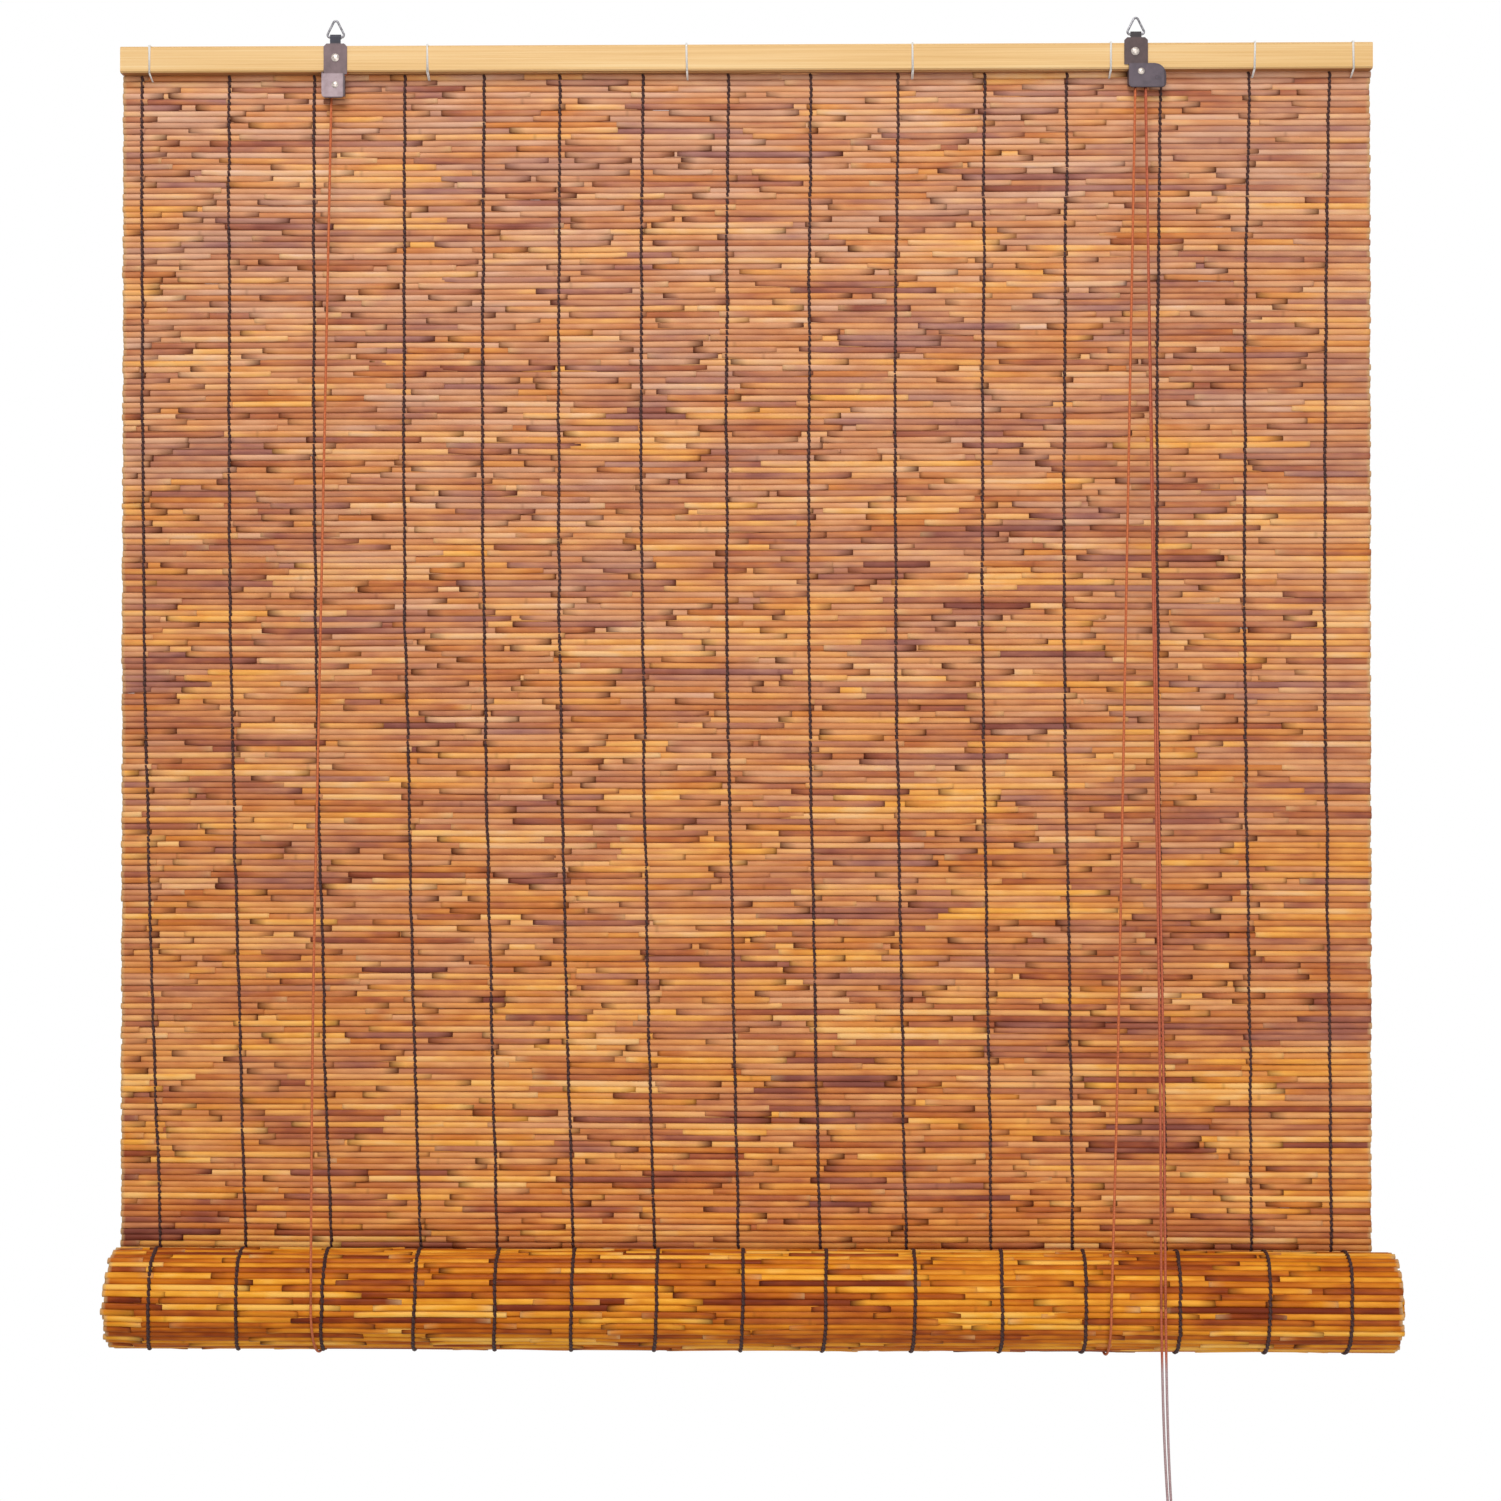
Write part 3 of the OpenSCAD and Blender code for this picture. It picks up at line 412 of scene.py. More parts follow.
def plate_material(name, tongue, strap, cheek, strap_z, cheek_z, rim_x, rim_z):
    """Painted sheet metal with cloudy tarnish: the tongue's colours down to strap_z, the strap's, and below
    cheek_z the pulley housing's. Along the housing's right edge from rim_x on and along its lower edge
    from rim_z down it is darkened with a painted shadow."""
    s = Shader(name, metallic=0.25)
    place = s.place()
    x, z = s.part(place, 0), s.part(place, 2)
    clouds = s.noise(place, (160.0, 160.0, 160.0), detail=4.0, roughness=0.6)
    scratches = s.noise(place, (900.0, 900.0, 120.0), detail=2.0)
    tarnish = s.span(clouds, NOISE_MIDDLE)
    colour = s.ramp(tarnish, (0.0, 1.0), tongue)
    for split_z, paint in ((strap_z, strap), (cheek_z, cheek)):
        below = s.span(z, (split_z + PAINT_BLUR, split_z - PAINT_BLUR))
        colour = s.mix(below, colour, s.ramp(tarnish, (0.0, 1.0), paint))
    # Painted shadow: the housing is darkened along its right and lower edges
    right = s.span(x, (rim_x, rim_x + RIM_BLUR), (0.0, 0.8))
    low = s.span(z, (rim_z, rim_z - RIM_BLUR), (0.0, 0.8))
    painted_rim_shadow = s.math("MULTIPLY", s.math("MAXIMUM", right, low), below)
    colour = s.mix(painted_rim_shadow, colour, linear(PLATE_RIM_SHADOW))
    s.bump(scratches, distance=0.00008)
    return s.finish(colour, roughness=s.span(clouds, NOISE_MIDDLE, (0.42, 0.6)))


def metal_material(name, dull, bright, roughness):
    """Bare metal with a worn, slightly uneven polish."""
    s = Shader(name, metallic=1.0)
    wear = s.noise(s.place(), (700.0, 700.0, 700.0))
    s.bump(wear, distance=0.00005)
    colour = s.ramp(wear, (0.35, 0.65), (dull, bright))
    return s.finish(colour, roughness=s.span(wear, NOISE_MIDDLE, roughness))


def turned_wood_material():
    """Turned wood: grain along the pull and fine lathe rings."""
    s = Shader("pull_wood", specular=0.45)
    place = s.place()
    grain = s.noise(place, (420.0, 420.0, 40.0), detail=4.0, roughness=0.6)
    rings = s.math("SINE", s.math("MULTIPLY", s.part(place, 2), LATHE_TWIST))
    s.bump(s.math("ADD", grain, s.math("MULTIPLY", rings, 0.15)), distance=0.0002)
    colour = s.ramp(grain, (0.3, 0.5, 0.7), WOOD_COLOURS)
    return s.finish(colour, roughness=s.span(grain, NOISE_MIDDLE, (0.34, 0.5)))


# Meshes


class Pile:
    """Tubes that become one mesh, with the values that its material reads."""

    def __init__(self):
        self.verts, self.faces, self.caps, self.corners = [], [], [], []
        self.values = {}
        self.count = 0

    def tube(self, rings, strip, grain, **values):
        """Adds a closed tube through rings, an array of (ring, side, xyz). strip is its part of the bake map as
        (u low, u high, v low, v high), grain each ring's place along it with the tube's seed, and values
        have a number for each ring."""
        count, sides = rings.shape[:2]
        self.verts.append(rings.reshape(-1, 3))
        u = np.interp(grain[0], (grain[0][0], grain[0][-1]), strip[:2])
        v = np.linspace(strip[2], strip[3], sides + 1)
        index = self.count + np.arange(count * sides).reshape(count, sides)
        for i in range(count - 1):
            for k in range(sides):
                n = (k + 1) % sides
                self.faces.append((index[i, k], index[i, n], index[i + 1, n], index[i + 1, k]))
                self.corners += [(u[i], v[k]), (u[i], v[k + 1]), (u[i + 1], v[k + 1]), (u[i + 1], v[k])]
        for i, ring in ((0, index[0][::-1]), (-1, index[-1])):
            self.caps.append(len(self.faces))
            self.faces.append(tuple(ring))
            self.corners += [(u[i], v[k]) for k in range(sides)]
        around = np.tile(np.arange(sides) / sides, count)
        seed = np.full(count * sides, grain[1])
        self.keep("grain", np.column_stack((np.repeat(grain[0], sides), around, seed)))
        for name, numbers in values.items():
            self.keep(name, np.repeat(np.broadcast_to(numbers, count), sides))
        self.count += count * sides

    def keep(self, name, numbers):
        self.values.setdefault(name, []).append(numbers)

    def make(self, name, material):
        """The mesh object of all tubes so far."""
        mesh = bpy.data.meshes.new(name)
        mesh.from_pydata(np.concatenate(self.verts).tolist(), [], self.faces)
        for key, parts in self.values.items():
            numbers = np.concatenate(parts).astype(np.float32)
            kind, field = ("FLOAT_VECTOR", "vector") if numbers.ndim == 2 else ("FLOAT", "value")
            mesh.attributes.new(key, kind, "POINT").data.foreach_set(field, numbers.ravel())
        uv = mesh.uv_layers.new(name="OFBake")
        uv.data.foreach_set("uv", np.array(self.corners, np.float32).ravel())
        soft = np.ones(len(self.faces), bool)
        soft[self.caps] = False
        mesh.polygons.foreach_set("use_smooth", soft)
        mesh.materials.append(material)
        mesh.update()
        piece = bpy.data.objects.new(name, mesh)
        bpy.context.scene.collection.objects.link(piece)
        return piece


def tube_rings(path, radius, sides):
    """Rings of a round tube along path, an array of points, turned as little as possible from one to the
    next."""
    path = np.asarray(path, float)
    ahead = np.gradient(path, axis=0)
    ahead /= np.linalg.norm(ahead, axis=1)[:, None]
    side = np.cross(ahead[0], (0.0, 1.0, 0.0) if abs(ahead[0][1]) < 0.9 else (1.0, 0.0, 0.0))
    angles = 2 * np.pi * np.arange(sides) / sides
    rings = []
    for point, direction in zip(path, ahead):
        side = side - direction * (side @ direction)
        side /= np.linalg.norm(side)
        other = np.cross(direction, side)
        rings.append(point + radius * (np.cos(angles)[:, None] * side + np.sin(angles)[:, None] * other))
    return np.array(rings)


def lengths_along(path):
    return np.concatenate(([0.0], np.cumsum(np.linalg.norm(np.diff(path, axis=0), axis=1))))


def mat_frame(s):
    """At s along the mat from its first row: the middle of the mat, the way out to its wall side and the way
    along it, all as (y, z). The mat hangs first, and is then wound into the roll."""
    past = s - MAT_ROWS * PITCH
    if past < 0:
        return np.array((MAT_Y, ROW_0_Z - s)), np.array((1.0, 0.0)), np.array((0.0, -1.0))
    turn = (ROLL_R - math.sqrt(ROLL_R**2 - TURN_STEP * past / math.pi)) * 2 * math.pi / TURN_STEP
    out = np.array((math.cos(turn), -math.sin(turn)))
    r = ROLL_R - TURN_STEP * turn / (2 * math.pi)
    return np.array((ROLL_Y, ROLL_Z)) + r * out, out, np.array((-math.sin(turn), -math.cos(turn)))


def row_spans(rng, first, last):
    """Reeds of one row as (start, end, lap at the start, lap at the end). The laps at the mat's edges are 0."""
    shortest, longest = REED_LENGTH_LIMITS
    spans = []
    start, lap = first, 0.0
    while True:
        length = min(max(rng.gauss(*REED_LENGTH), shortest), longest)
        if start == first:
            length *= rng.uniform(*FIRST_REED_SHARE)
        end = start + lap + length
        if end > last - shortest:
            spans.append((start, last, lap, 0.0))
            return spans
        next_lap = min(rng.uniform(*REED_LAP), REED_LAP_SHARE * (end - start))
        spans.append((start, end, lap, next_lap))
        start, lap = end - next_lap, next_lap


def reed_places(length, joints):
    """Where a reed has rings: close together at its ends and joints, far apart between them."""
    ends = [p for p in END_RINGS if p < length / 2]
    places = ends + [length - p for p in ends]
    places += list(np.arange(RINGS_FROM, length - RINGS_TO, RINGS_STEP))
    for joint in joints:
        places += [joint - JOINT_HALF, joint, joint + JOINT_HALF]
    return np.unique(np.round(places, 5))


def patch(x, row):
    """How pale the reeds about a place of the mat are, from about -1.6 to 1.6, so that neighbours are alike."""
    broad = math.sin(23.0 * x + 0.11 * row) * math.sin(0.24 * row - 9.0 * x + 0.8)
    return broad + 0.6 * math.sin(0.53 * row + 31.0 * x)


def reed_tone(rng, row, pale):
    """A reed's place on the ramps of colours. On the mat the tones differ less, painted light for the haze of
    light through the mat, and they are painted paler just above the roll, painted light against its shadow."""
    painted_light_near_roll, spread = 0.0, 1.0
    if row < MAT_ROWS:
        # Painted light: the last rows above the roll are made paler against the roll's shadow
        painted_light_near_roll = NEAR_ROLL_PAINTED_LIGHT * float(smooth((row - MAT_ROWS + NEAR_ROLL_ROWS) / NEAR_ROLL_FADE))
        # Painted light: the tones differ less up the mat, for the haze of light through it
        spread = SPREAD_TOP + (SPREAD_END - SPREAD_TOP) * row / MAT_ROWS
    tone = HUE_MIDDLE + spread * (rng.choices(HUES, HUE_WEIGHTS)[0] - HUE_MIDDLE) + PATCH_TONE * pale
    return tone + rng.uniform(-HUE_JITTER, HUE_JITTER) + painted_light_near_roll


def add_reed(pile, rng, row, lane, span, strip, mauve, shift):
    """One reed of a row: tapered, slightly bowed, thin and dark or pale at its free ends, with its joints.
    Where two reeds lap, the end of the one lies in front of the other."""
    start, end, lap_before, lap_after = span
    length = end - start
    joints = []
    if length > JOINT_REED and rng.random() < JOINT_CHANCE:
        joints.append(rng.uniform(JOINT_MARGIN, length - JOINT_MARGIN))
    places = reed_places(length, joints)
    x = start + places
    middle, out, along = mat_frame(row * PITCH)

    narrowing = rng.uniform(0.0, REED_TAPER)
    share = places / length
    taper = 1.0 - narrowing * (share if rng.random() < 0.5 else 1.0 - share)
    size = np.ones_like(places)
    lap = np.zeros_like(places)
    dark = np.zeros_like(places)
    cut = np.zeros_like(places)
    for reach, gone in ((lap_before, places), (lap_after, length - places)):
        if reach:
            size *= TIP_SIZE + (1.0 - TIP_SIZE) * smooth(gone / TIP_REACH)
            lap += 1.0 - smooth(gone / reach)
            tip = 1.0 - smooth(gone / rng.uniform(*TIP_LENGTH))
            if rng.random() < DARK_TIP_CHANCE:
                dark += rng.uniform(*DARK_TIP) * tip
            else:
                cut = np.maximum(cut, rng.uniform(*CUT_TIP) * tip)
        else:
            cut = np.maximum(cut, gone < 1e-6)
    for joint in joints:
        near = np.clip(1.0 - np.abs(places - joint) / JOINT_HALF, 0.0, 1.0)
        size *= 1.0 + JOINT_SWELL * near
        dark += JOINT_DARK * near

    behind = lane % 2 == 1
    aside = TIP_ASIDE if behind else -TIP_ASIDE
    shown = -1.0 if row < MAT_ROWS else 1.0
    lifted = shown * (-TIP_BEHIND if behind else TIP_BEFORE)
    bow = rng.uniform(-REED_BOW, REED_BOW) * np.sin(math.pi * share)
    sway = LONG_SWAY * np.sin(7.1 * x + 0.11 * row) + SHORT_SWAY * np.sin(17.3 * x - 0.07 * row + 1.3)
    down = sway + bow + rng.uniform(-ROW_JITTER, ROW_JITTER) + aside * lap
    proud = lifted * lap + rng.uniform(*REED_PROUD)
    half_along = rng.uniform(*REED_ALONG) * taper * size
    half_through = rng.uniform(*REED_THROUGH) * taper * size

    angles = 2 * np.pi * np.arange(REED_SIDES) / REED_SIDES
    up_share = down[:, None] - half_along[:, None] * np.cos(angles)
    out_share = proud[:, None] + half_through[:, None] * np.sin(angles)
    flat = middle + up_share[..., None] * along + out_share[..., None] * out
    across = np.broadcast_to((x + shift)[:, None, None], (len(x), REED_SIDES, 1))
    pale = patch((start + end) / 2, row)
    tone = reed_tone(rng, row, pale)
    pile.tube(
        np.concatenate((across, flat), axis=2), strip, (places, rng.uniform(0.0, GRAIN_SEEDS)),
        hue=tone, mauve=mauve * (1 - PATCH_MAUVE * pale),
        dark=np.clip(dark, 0.0, MOST_DARK), cut=MOST_CUT * cut,
    )


def free_strip(low, height):
    """The part of a strip of the bake map that is used."""
    return low + BAKE_FREE * height, low + (1 - BAKE_FREE) * height


def add_rows(pile, rng, rows, ragged, shift=0.0, whole=False):
    """All reeds of some rows of the mat, counted through to the end of the roll. Rows that are out of sight
    inside the roll have whole reeds."""
    height = 1 / (2 * len(rows))
    for n, row in enumerate(rows):
        # Painted light: the share of mauve rises up the mat for the glow of light through it from behind
        mauve = MAUVE_TOP + (MAUVE_END - MAUVE_TOP) * row / MAT_ROWS if row < MAT_ROWS else MAUVE_ROLL
        first = -WIDTH / 2 + rng.uniform(-ragged, ragged)
        last = WIDTH / 2 + rng.uniform(-ragged, ragged)
        for lane, span in enumerate([(first, last, 0.0, 0.0)] if whole else row_spans(rng, first, last)):
            u_low, u_high = ((x + BAKE_HALF) / (2 * BAKE_HALF) for x in span[:2])
            strip = (u_low, u_high, *free_strip((2 * n + lane % 2) * height, height))
            add_reed(pile, rng, row, lane, span, strip, mauve, shift)


def twine_path(rng, rows, x_of, strand):
    """One strand of a twined thread: in front of every second row and behind the others."""
    path = []
    wander = 0.0
    for row in rows:
        face = 1.0 if (row + strand) % 2 else -1.0
        wander = TWINE_MEMORY * wander + rng.uniform(-TWINE_WANDER, TWINE_WANDER)
        for share, lift, cross in TWINE_STITCH:
            middle, out, _ = mat_frame((row + share) * PITCH)
            y, z = middle + out * face * lift
            path.append((x_of(row + share) + wander + face * cross, y, z))
    return np.array(path)


def add_twine(pile, rng, rows, x_of, i):
    """Both strands of thread number i."""
    height = 1 / (2 * THREADS)
    wander_seed = rng.random()
    for strand in (0, 1):
        path = twine_path(random.Random(wander_seed), rows, x_of, strand)
        pile.tube(
            tube_rings(path, TWINE_R, TWINE_SIDES), (0.0, 1.0, *free_strip((2 * i + strand) * height, height)),
            (lengths_along(path), rng.uniform(0.0, GRAIN_SEEDS)),
        )


def thread_x(i, first, step):
    return first + (i + THREAD_DRIFTS[i]) * step


def mat_thread_x(i):
    """A thread's x by row on the hanging mat, where the threads bow to the left."""
    top, end = thread_x(i, *THREAD_TOP), thread_x(i, *THREAD_END)
    lean = THREAD_LEAN * (1 - i / (THREADS - 1))

    def at(row):
        share = (row - THREAD_ROW) / (MAT_ROWS - THREAD_ROW)
        bow = THREAD_BOW * math.sin(math.pi * min(1.0, max(0.0, share) / THREAD_BOW_REACH))
        leaning = float(smooth((share - THREAD_LEAN_FROM) / (1 - THREAD_LEAN_FROM)))
        return top + (end - top) * share - bow + lean * leaning

    return at


def roll_thread_x(i):
    """A thread's x on the roll: it leaves the mat's thread at the wall side and has its own place in front."""
    end, place = thread_x(i, *THREAD_END), thread_x(i, *THREAD_ROLL)

    def at(row):
        turn = (row - MAT_ROWS) / OUTER_ROWS
        apart = np.interp(turn, ROLL_QUARTERS, ROLL_THREAD_SPREAD)
        return end + (place - end) * float(smooth(2 * turn)) + place * apart

    return at


def folds_away(piece):
    """A piece of the head with a mesh of its own."""
    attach(piece, "head")
    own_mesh(piece)


# The mat and the roll

REED = reed_material()
TWINE = twine_material()


def dress_mat():
    """Hanging rows and their threads. The rows that stay in sight when the roll is up are a piece of their own.
    """
    half = (KEPT_ROWS + MAT_ROWS) // 2
    parts = (("upper", range(KEPT_ROWS)), ("middle", range(KEPT_ROWS, half)), ("lower", range(half, MAT_ROWS)))
    for n, (part, rows) in enumerate(parts):
        reeds, twine = Pile(), Pile()
        add_rows(reeds, random.Random(MAT_SEED + n), rows, MAT_RAGGED)
        thread_rows = range(max(rows[0], THREAD_ROW), rows[-1] + 1)
        for i in range(THREADS):
            add_twine(twine, random.Random(MAT_TWINE_SEED_STEP * n + i), thread_rows, mat_thread_x(i), i)
        for pile, what, material, node, slot in (
            (reeds, "reeds", REED, "reed_mat", "reed"),
            (twine, "twine", TWINE, "mat_stitch_threads", "dark_thread"),
        ):
            piece = pile.make(f"mat_{what}_{part}", material)
            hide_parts(node)
            if part == "upper":
                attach(piece, "head")
            else:
                folds_away(piece)


def dress_roll():
    """The rolled rows: all of them as reeds, with threads round the outer turn."""
    reeds, twine = Pile(), Pile()
    outer = range(MAT_ROWS, MAT_ROWS + OUTER_ROWS)
    core = range(MAT_ROWS + OUTER_ROWS, MAT_ROWS + ROLL_ROWS)
    add_rows(reeds, random.Random(ROLL_SEED), outer, ROLL_RAGGED, ROLL_SHIFT)
    add_rows(reeds, random.Random(ROLL_CORE_SEED), core, ROLL_RAGGED, ROLL_SHIFT, whole=True)
    for i in range(THREADS):
        add_twine(twine, random.Random(ROLL_TWINE_SEED + i), outer, roll_thread_x(i), i)
    for pile, name, material, node, slot in (
        (reeds, "roll_reeds", REED, "reed_roll", "rolled_reed"),
        (twine, "roll_twine", TWINE, "roll_stitch_threads", "dark_thread"),
    ):
        piece = pile.make(name, material)
        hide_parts(node)
        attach(piece, "roll")


# Cords and ties

LIFT_CORD = cord_material("lift_cord", LIFT_COLOURS)
PULL_CORD = cord_material("pull_cord", PULL_COLOURS)
# The pull cords' ends, painted paler below the roll as painted light
PULL_END = cord_material("pull_cord_end", PULL_COLOURS, glow_colours=PAINTED_GLOW_COLOURS)
WHITE_THREAD = cord_material("white_thread", WHITE_COLOURS)


def line(p, q, steps):
    return [tuple(Vector(p).lerp(Vector(q), i / steps)) for i in range(steps + 1)]


def cord_piece(name, path, node, material):
    """A braided tube along path that stands for a CAD node."""
    pile = Pile()
    points = np.array(path)
    rings = tube_rings(points, CORD_D / 2, CORD_SIDES)
    pile.tube(rings, (0.0, 1.0, 0.0, 1.0), (lengths_along(points), CORD_GRAIN_SEED))
    piece = pile.make(name, material)
    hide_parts(node)
    return piece


def front_touch(point):
    """The angle at which a cord from a point above touches the circle round the roll in front."""
    y, z = point[1] - ROLL_Y, point[2] - ROLL_Z
    return math.degrees(math.acos(BIGHT_R / math.hypot(y, z)) - math.atan2(y, z))


def on_bight(x, angle):
    """A point of the line that the cords follow round the roll, by its angle from the top to the front: a
    circle that lies a little closer under the roll."""
    a = math.radians(angle)
    under = min(1.0, max(0.0, (angle - FRONT_ANGLE) / (BACK_ANGLE - FRONT_ANGLE)))
    r = BIGHT_R - BIGHT_SNUG * math.sin(math.pi * under)
    return (x, ROLL_Y - r * math.sin(a), ROLL_Z + r * math.cos(a))


def front_run(top, x):
    """Points of a cord from its pulley to where it touches the roll in front. The run bows forward just enough
    that, shortened in height alone by the roll's climb, it would lie over the roll that is up."""
    touch = front_touch(top)
    low = on_bight(x, touch)
    keep = 1 - LIFT / (top[2] - low[2])
    start = (x, top[1], top[2] - LIFT)
    over = front_touch(start)
    raised = line(start, on_bight(x, over), FREE_STEPS)
    raised += [on_bight(x, over + (touch - over) * i / TOUCH_STEPS) for i in range(1, TOUCH_STEPS + 1)]
    points = []
    for _, y, z in raised:
        share = (start[2] - z) / keep / (top[2] - low[2])
        points.append((top[0] + (x - top[0]) * share, y, top[2] + (low[2] - top[2]) * share))
    return points


def round_pulley(pulley, y, start, stop, steps):
    """Points of a cord on a pulley, by angles from +X to +Z."""
    x, z = pulley
    turns = [math.radians(start + (stop - start) * i / steps) for i in range(steps + 1)]
    return [(x + WRAP_R * math.cos(a), y, z + WRAP_R * math.sin(a)) for a in turns]


def dress_lift_cords():
    """Each lift cord from its staple down behind the mat, under the roll, up in front and over the pulleys."""
    lock_z = RIGHT_PULLEY[1] - CORD_DROP
    left_top = (LEFT_LIFT_X, BACK_GROOVE_Y, LEFT_PULLEY[1] - CORD_DROP)
    right_top = (RIGHT_PULLEY[0] - WRAP_R, FRONT_GROOVE_Y, lock_z)
    for side, x, top, staple_x in (
        ("left", LEFT_LIFT_X, left_top, LEFT_LIFT_X),
        ("right", RIGHT_LIFT_X, right_top, RIGHT_STAPLE_X),
    ):
        touch = front_touch(top)
        front_path = front_run(top, x)
        front = cord_piece(f"{side}_lift_front", front_path, f"{side}_cord_front_run", LIFT_CORD)
        folds_away(front)
        bight_step = (BACK_ANGLE - touch) / BIGHT_STEPS
        bight_path = [on_bight(x, touch + bight_step * i) for i in range(BIGHT_STEPS + 1)]
        bight = cord_piece(f"{side}_lift_bight", bight_path, f"{side}_cord_bight", LIFT_CORD)
        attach(bight, "cord_cradle")
        back_path = line((staple_x, ROLL_Y + BIGHT_R, STAPLE_Z), on_bight(x, BACK_ANGLE), BACK_STEPS)
        back = cord_piece(f"{side}_lift_back", back_path, f"{side}_cord_back_run", LIFT_CORD)
        folds_away(back)

    climb = round_pulley(LEFT_PULLEY, BACK_GROOVE_Y, start=180, stop=90 + CLIMB_ANGLE, steps=8)
    rise = (GROOVE_CORD_Z - climb[-1][2]) / math.tan(math.radians(CLIMB_ANGLE))
    corner = (climb[-1][0] + rise, BACK_GROOVE_Y, GROOVE_CORD_Z)
    over = round_pulley(RIGHT_PULLEY, BACK_GROOVE_Y, start=90, stop=0, steps=10)
    cross = [left_top, *climb, *line(climb[-1], corner, steps=4)[1:], *line(corner, over[0], steps=24)[1:]]
    cross += [*over[1:], (PULL_X, BACK_GROOVE_Y, lock_z)]
    turn = [right_top, *round_pulley(RIGHT_PULLEY, FRONT_GROOVE_Y, start=180, stop=0, steps=18)]
    turn.append((PULL_X, FRONT_GROOVE_Y, lock_z))
    for name, path, node in (
        ("left_lift_cross", cross, "left_cord_cross_run"),
        ("right_lift_turn", turn, "right_cord_turn"),
    ):
        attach(cord_piece(name, path, node, LIFT_CORD), "head")


def dress_pull_cords():
    """Both pull cords, from the lock over the roll's front and then free down to the pull."""
    pull_x = PULL_X + PULL_SPREAD / 2 + PULL_DRIFT
    half = CORD_D / 2 + PULL_GAP / 2
    lock_z = RIGHT_PULLEY[1] - CORD_DROP
    for strand, y, x, end_x in (
        ("a", BACK_GROOVE_Y, PULL_X + PULL_SPREAD, pull_x + half),
        ("b", FRONT_GROOVE_Y, PULL_X, pull_x - half),
    ):
        top = (PULL_X, y, lock_z)
        upper_path = front_run(top, x)
        low = upper_path[-1]
        node = f"pull_cord_{strand}"
        upper = cord_piece(f"pull_{strand}_upper", upper_path, f"{node}_upper", PULL_CORD)
        folds_away(upper)
        end = (end_x, low[1], PULL_TOP_Z)
        lower_path = []
        for i in range(PULL_STEPS + 1):
            t = i / PULL_STEPS
            aside = PULL_STRAIGHT * t + (1 - PULL_STRAIGHT) * t**3
            lower_path.append((low[0] + (end_x - low[0]) * aside, low[1], low[2] + (end[2] - low[2]) * t))
        lower = cord_piece(f"pull_{strand}_lower", lower_path, f"{node}_lower", PULL_END)
        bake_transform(lower)


def dress_ties():
    """White ties: two turns of thin thread round the rail and through the mat, side by side."""
    pile = Pile()
    rng = random.Random(TIE_SEED)
    height = 1 / (2 * len(TIE_XS))
    for n, x in enumerate(TIE_XS):
        for turn in (-1, 1):
            lean = rng.uniform(-TIE_LEAN, TIE_LEAN)
            middle = x + turn * TIE_ASIDE
            path = np.array([(middle + (lean if z > TIE_MIDDLE_Z else -lean), y, z) for y, z in TIE_ROUTE])
            low = (2 * n + (turn > 0)) * height
            pile.tube(
                tube_rings(path, TIE_R, TIE_SIDES), (0.0, 1.0, low, low + (1 - BAKE_FREE) * height),
                (lengths_along(path), rng.uniform(0.0, TIE_GRAIN_SEEDS)),
            )
    piece = pile.make("rail_tie_threads", WHITE_THREAD)
    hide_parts("rail_ties")
    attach(piece, "head")


# CAD pieces that keep their shape


def dress_cad():
    """Procedural materials for the CAD nodes that show."""
    rail = bamboo_material("pale_bamboo", under_z=-0.036)
    batten = bamboo_material("batten_bamboo")
    # Both tongues' dark colours are painted shade under the hanger loops, and the grey housing's colours, paler
    # than its strap's, are painted light, as if the housing plate caught more light than the strap
    grey = plate_material(
        "grey_plate",
        tongue=((26, 25, 36), (44, 42, 56)),
        strap=((92, 74, 76), (118, 98, 100)),
        cheek=((136, 116, 120), (168, 148, 152)),
        strap_z=-0.0158, cheek_z=-0.0375, rim_x=-0.2889, rim_z=-0.0541,
    )
    dark = plate_material(
        "dark_plate",
        tongue=((34, 28, 32), (50, 42, 44)),
        strap=((62, 48, 48), (84, 66, 66)),
        cheek=((70, 60, 68), (92, 80, 88)),
        strap_z=-0.0135, cheek_z=-0.0323, rim_x=0.3004, rim_z=-0.0487,
    )
    wire = metal_material("zinc_wire", dull=(104, 102, 106), bright=(150, 148, 152), roughness=(0.3, 0.45))
    rivet = metal_material("bright_rivet", dull=(158, 147, 140), bright=(208, 197, 188), roughness=(0.32, 0.46))
    brass = metal_material("brass", dull=(168, 128, 62), bright=(214, 176, 98), roughness=(0.25, 0.42))
    knots = cord_material("knotted_cord", KNOT_COLOURS)
    wood = turned_wood_material()
    finishes = {
        rail: ("head_rail",),
        batten: ("bottom_batten",),
        grey: ("left_bracket",),
        dark: ("right_bracket", "lock_cam_pin"),
        wire: ("left_hanger_loop", "right_hanger_loop", "left_cord_staple", "right_cord_staple"),
        rivet: ("left_bracket_nail", "right_bracket_nail", "left_pulley_axle", "right_pulley_axle"),
        brass: ("left_pulley", "right_pulley", "lock_cam"),
        knots: ("left_cord_knot", "right_cord_knot", "pull_knot"),
        wood: ("cord_pull",),
    }
    for material, names in finishes.items():
        for name in names:
            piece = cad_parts[name]
            if piece.material_slots:
                piece.material_slots[0].material = material
            else:
                piece.data.materials.append(material)


# Stage


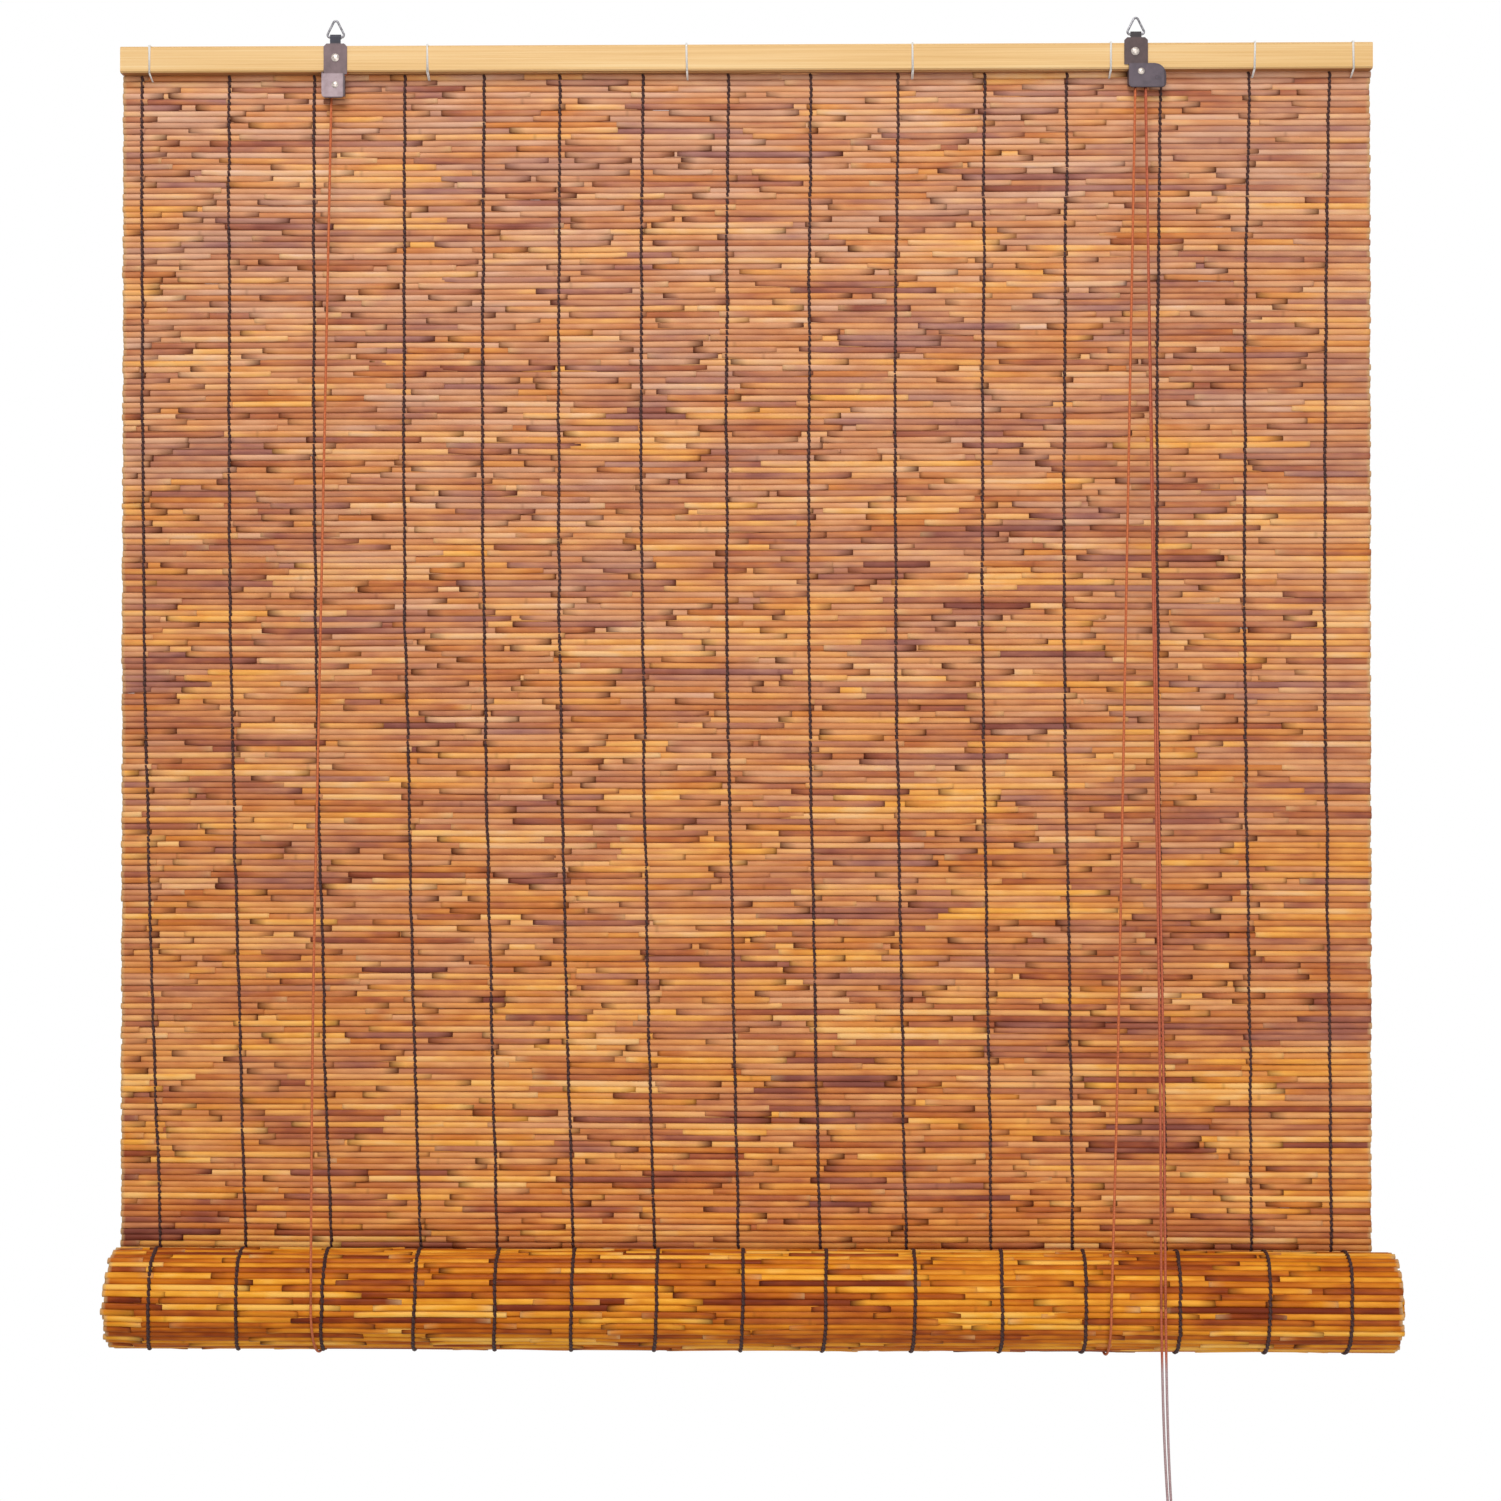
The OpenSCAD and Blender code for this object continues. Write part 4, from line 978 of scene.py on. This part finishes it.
def pale_for_camera(tree, strength_socket, plain, shown):
    """Sets a strength to shown for what the camera sees, also in reflections, and to plain for the light."""
    path = tree.nodes.new("ShaderNodeLightPath")
    seen = path.outputs["Is Camera Ray"]
    for output in ("Is Glossy Ray", "Is Transmission Ray"):
        most = tree.nodes.new("ShaderNodeMath")
        most.operation = "MAXIMUM"
        tree.links.new(seen, most.inputs[0])
        tree.links.new(path.outputs[output], most.inputs[1])
        seen = most.outputs[0]
    span = tree.nodes.new("ShaderNodeMapRange")
    span.inputs["To Min"].default_value = plain
    span.inputs["To Max"].default_value = shown
    tree.links.new(seen, span.inputs["Value"])
    tree.links.new(span.outputs[0], strength_socket)


def add_world():
    """White surroundings."""
    world = bpy.data.worlds.new("white_studio")
    world.use_nodes = True
    background = world.node_tree.nodes["Background"]
    background.inputs["Color"].default_value = WHITE
    pale_for_camera(world.node_tree, background.inputs["Strength"], plain=WORLD_LIGHT, shown=WORLD_SEEN)
    bpy.context.scene.world = world


def add_floor():
    """A pale floor below the view."""
    mesh = bpy.data.meshes.new("floor")
    corners = [
        (-FLOOR_HALF_X, FLOOR_FRONT_Y, FLOOR_Z), (FLOOR_HALF_X, FLOOR_FRONT_Y, FLOOR_Z),
        (FLOOR_HALF_X, FLOOR_BACK_Y, FLOOR_Z), (-FLOOR_HALF_X, FLOOR_BACK_Y, FLOOR_Z),
    ]
    mesh.from_pydata(corners, [], [(0, 1, 2, 3)])
    floor = bpy.data.objects.new("floor", mesh)
    paint = Shader("floor_paint", roughness=0.9, specular=0.1)
    paint.bsdf.inputs["Emission Color"].default_value = WHITE
    glow = paint.bsdf.inputs["Emission Strength"]
    pale_for_camera(paint.material.node_tree, glow, plain=0.0, shown=FLOOR_GLOW)
    mesh.materials.append(paint.finish(linear(FLOOR_COLOUR)))
    bpy.context.scene.collection.objects.link(floor)


def add_lamp(name, at, size, watts):
    """A soft square lamp that faces the blind."""
    lamp = bpy.data.lights.new(name, "AREA")
    lamp.size = size
    lamp.energy = watts
    holder = bpy.data.objects.new(name, lamp)
    holder.location = at
    holder.rotation_euler = (Vector(LAMP_TARGET) - Vector(at)).to_track_quat("-Z", "Y").to_euler()
    bpy.context.scene.collection.objects.link(holder)


def add_camera():
    """The camera, turned by its yaw and pitch and then about its own line of sight."""
    yaw, pitch, roll = (math.radians(a) for a in (CAMERA_YAW, CAMERA_PITCH, CAMERA_ROLL))
    ahead = Vector((-math.sin(yaw) * math.cos(pitch), math.cos(yaw) * math.cos(pitch), math.sin(pitch)))
    right = ahead.cross(Vector((0, 0, 1))).normalized()
    up = right.cross(ahead)
    tilted_right = math.cos(roll) * right + math.sin(roll) * up
    tilted_up = math.cos(roll) * up - math.sin(roll) * right
    turned = Matrix((tilted_right, tilted_up, -ahead)).transposed().to_4x4()
    lens = bpy.data.cameras.new("camera")
    lens.sensor_fit = "HORIZONTAL"
    lens.angle = math.radians(CAMERA_FOV)
    camera = bpy.data.objects.new("camera", lens)
    camera.matrix_world = Matrix.Translation(CAMERA_AT) @ turned
    bpy.context.scene.collection.objects.link(camera)
    bpy.context.scene.camera = camera


def set_stage():
    """White surroundings, a pale floor below the view, soft lamps and the photograph's camera."""
    bpy.context.scene.view_settings.view_transform = "Standard"
    add_world()
    add_floor()
    add_lamp("key", at=(-0.4, -1.9, 1.6), size=1.3, watts=48.0)
    add_lamp("fill", at=(0.6, -2.3, -0.9), size=1.6, watts=24.0)
    add_camera()


set_stage()
dress_lift_cords()
dress_pull_cords()
dress_mat()
dress_roll()
dress_ties()
dress_cad()
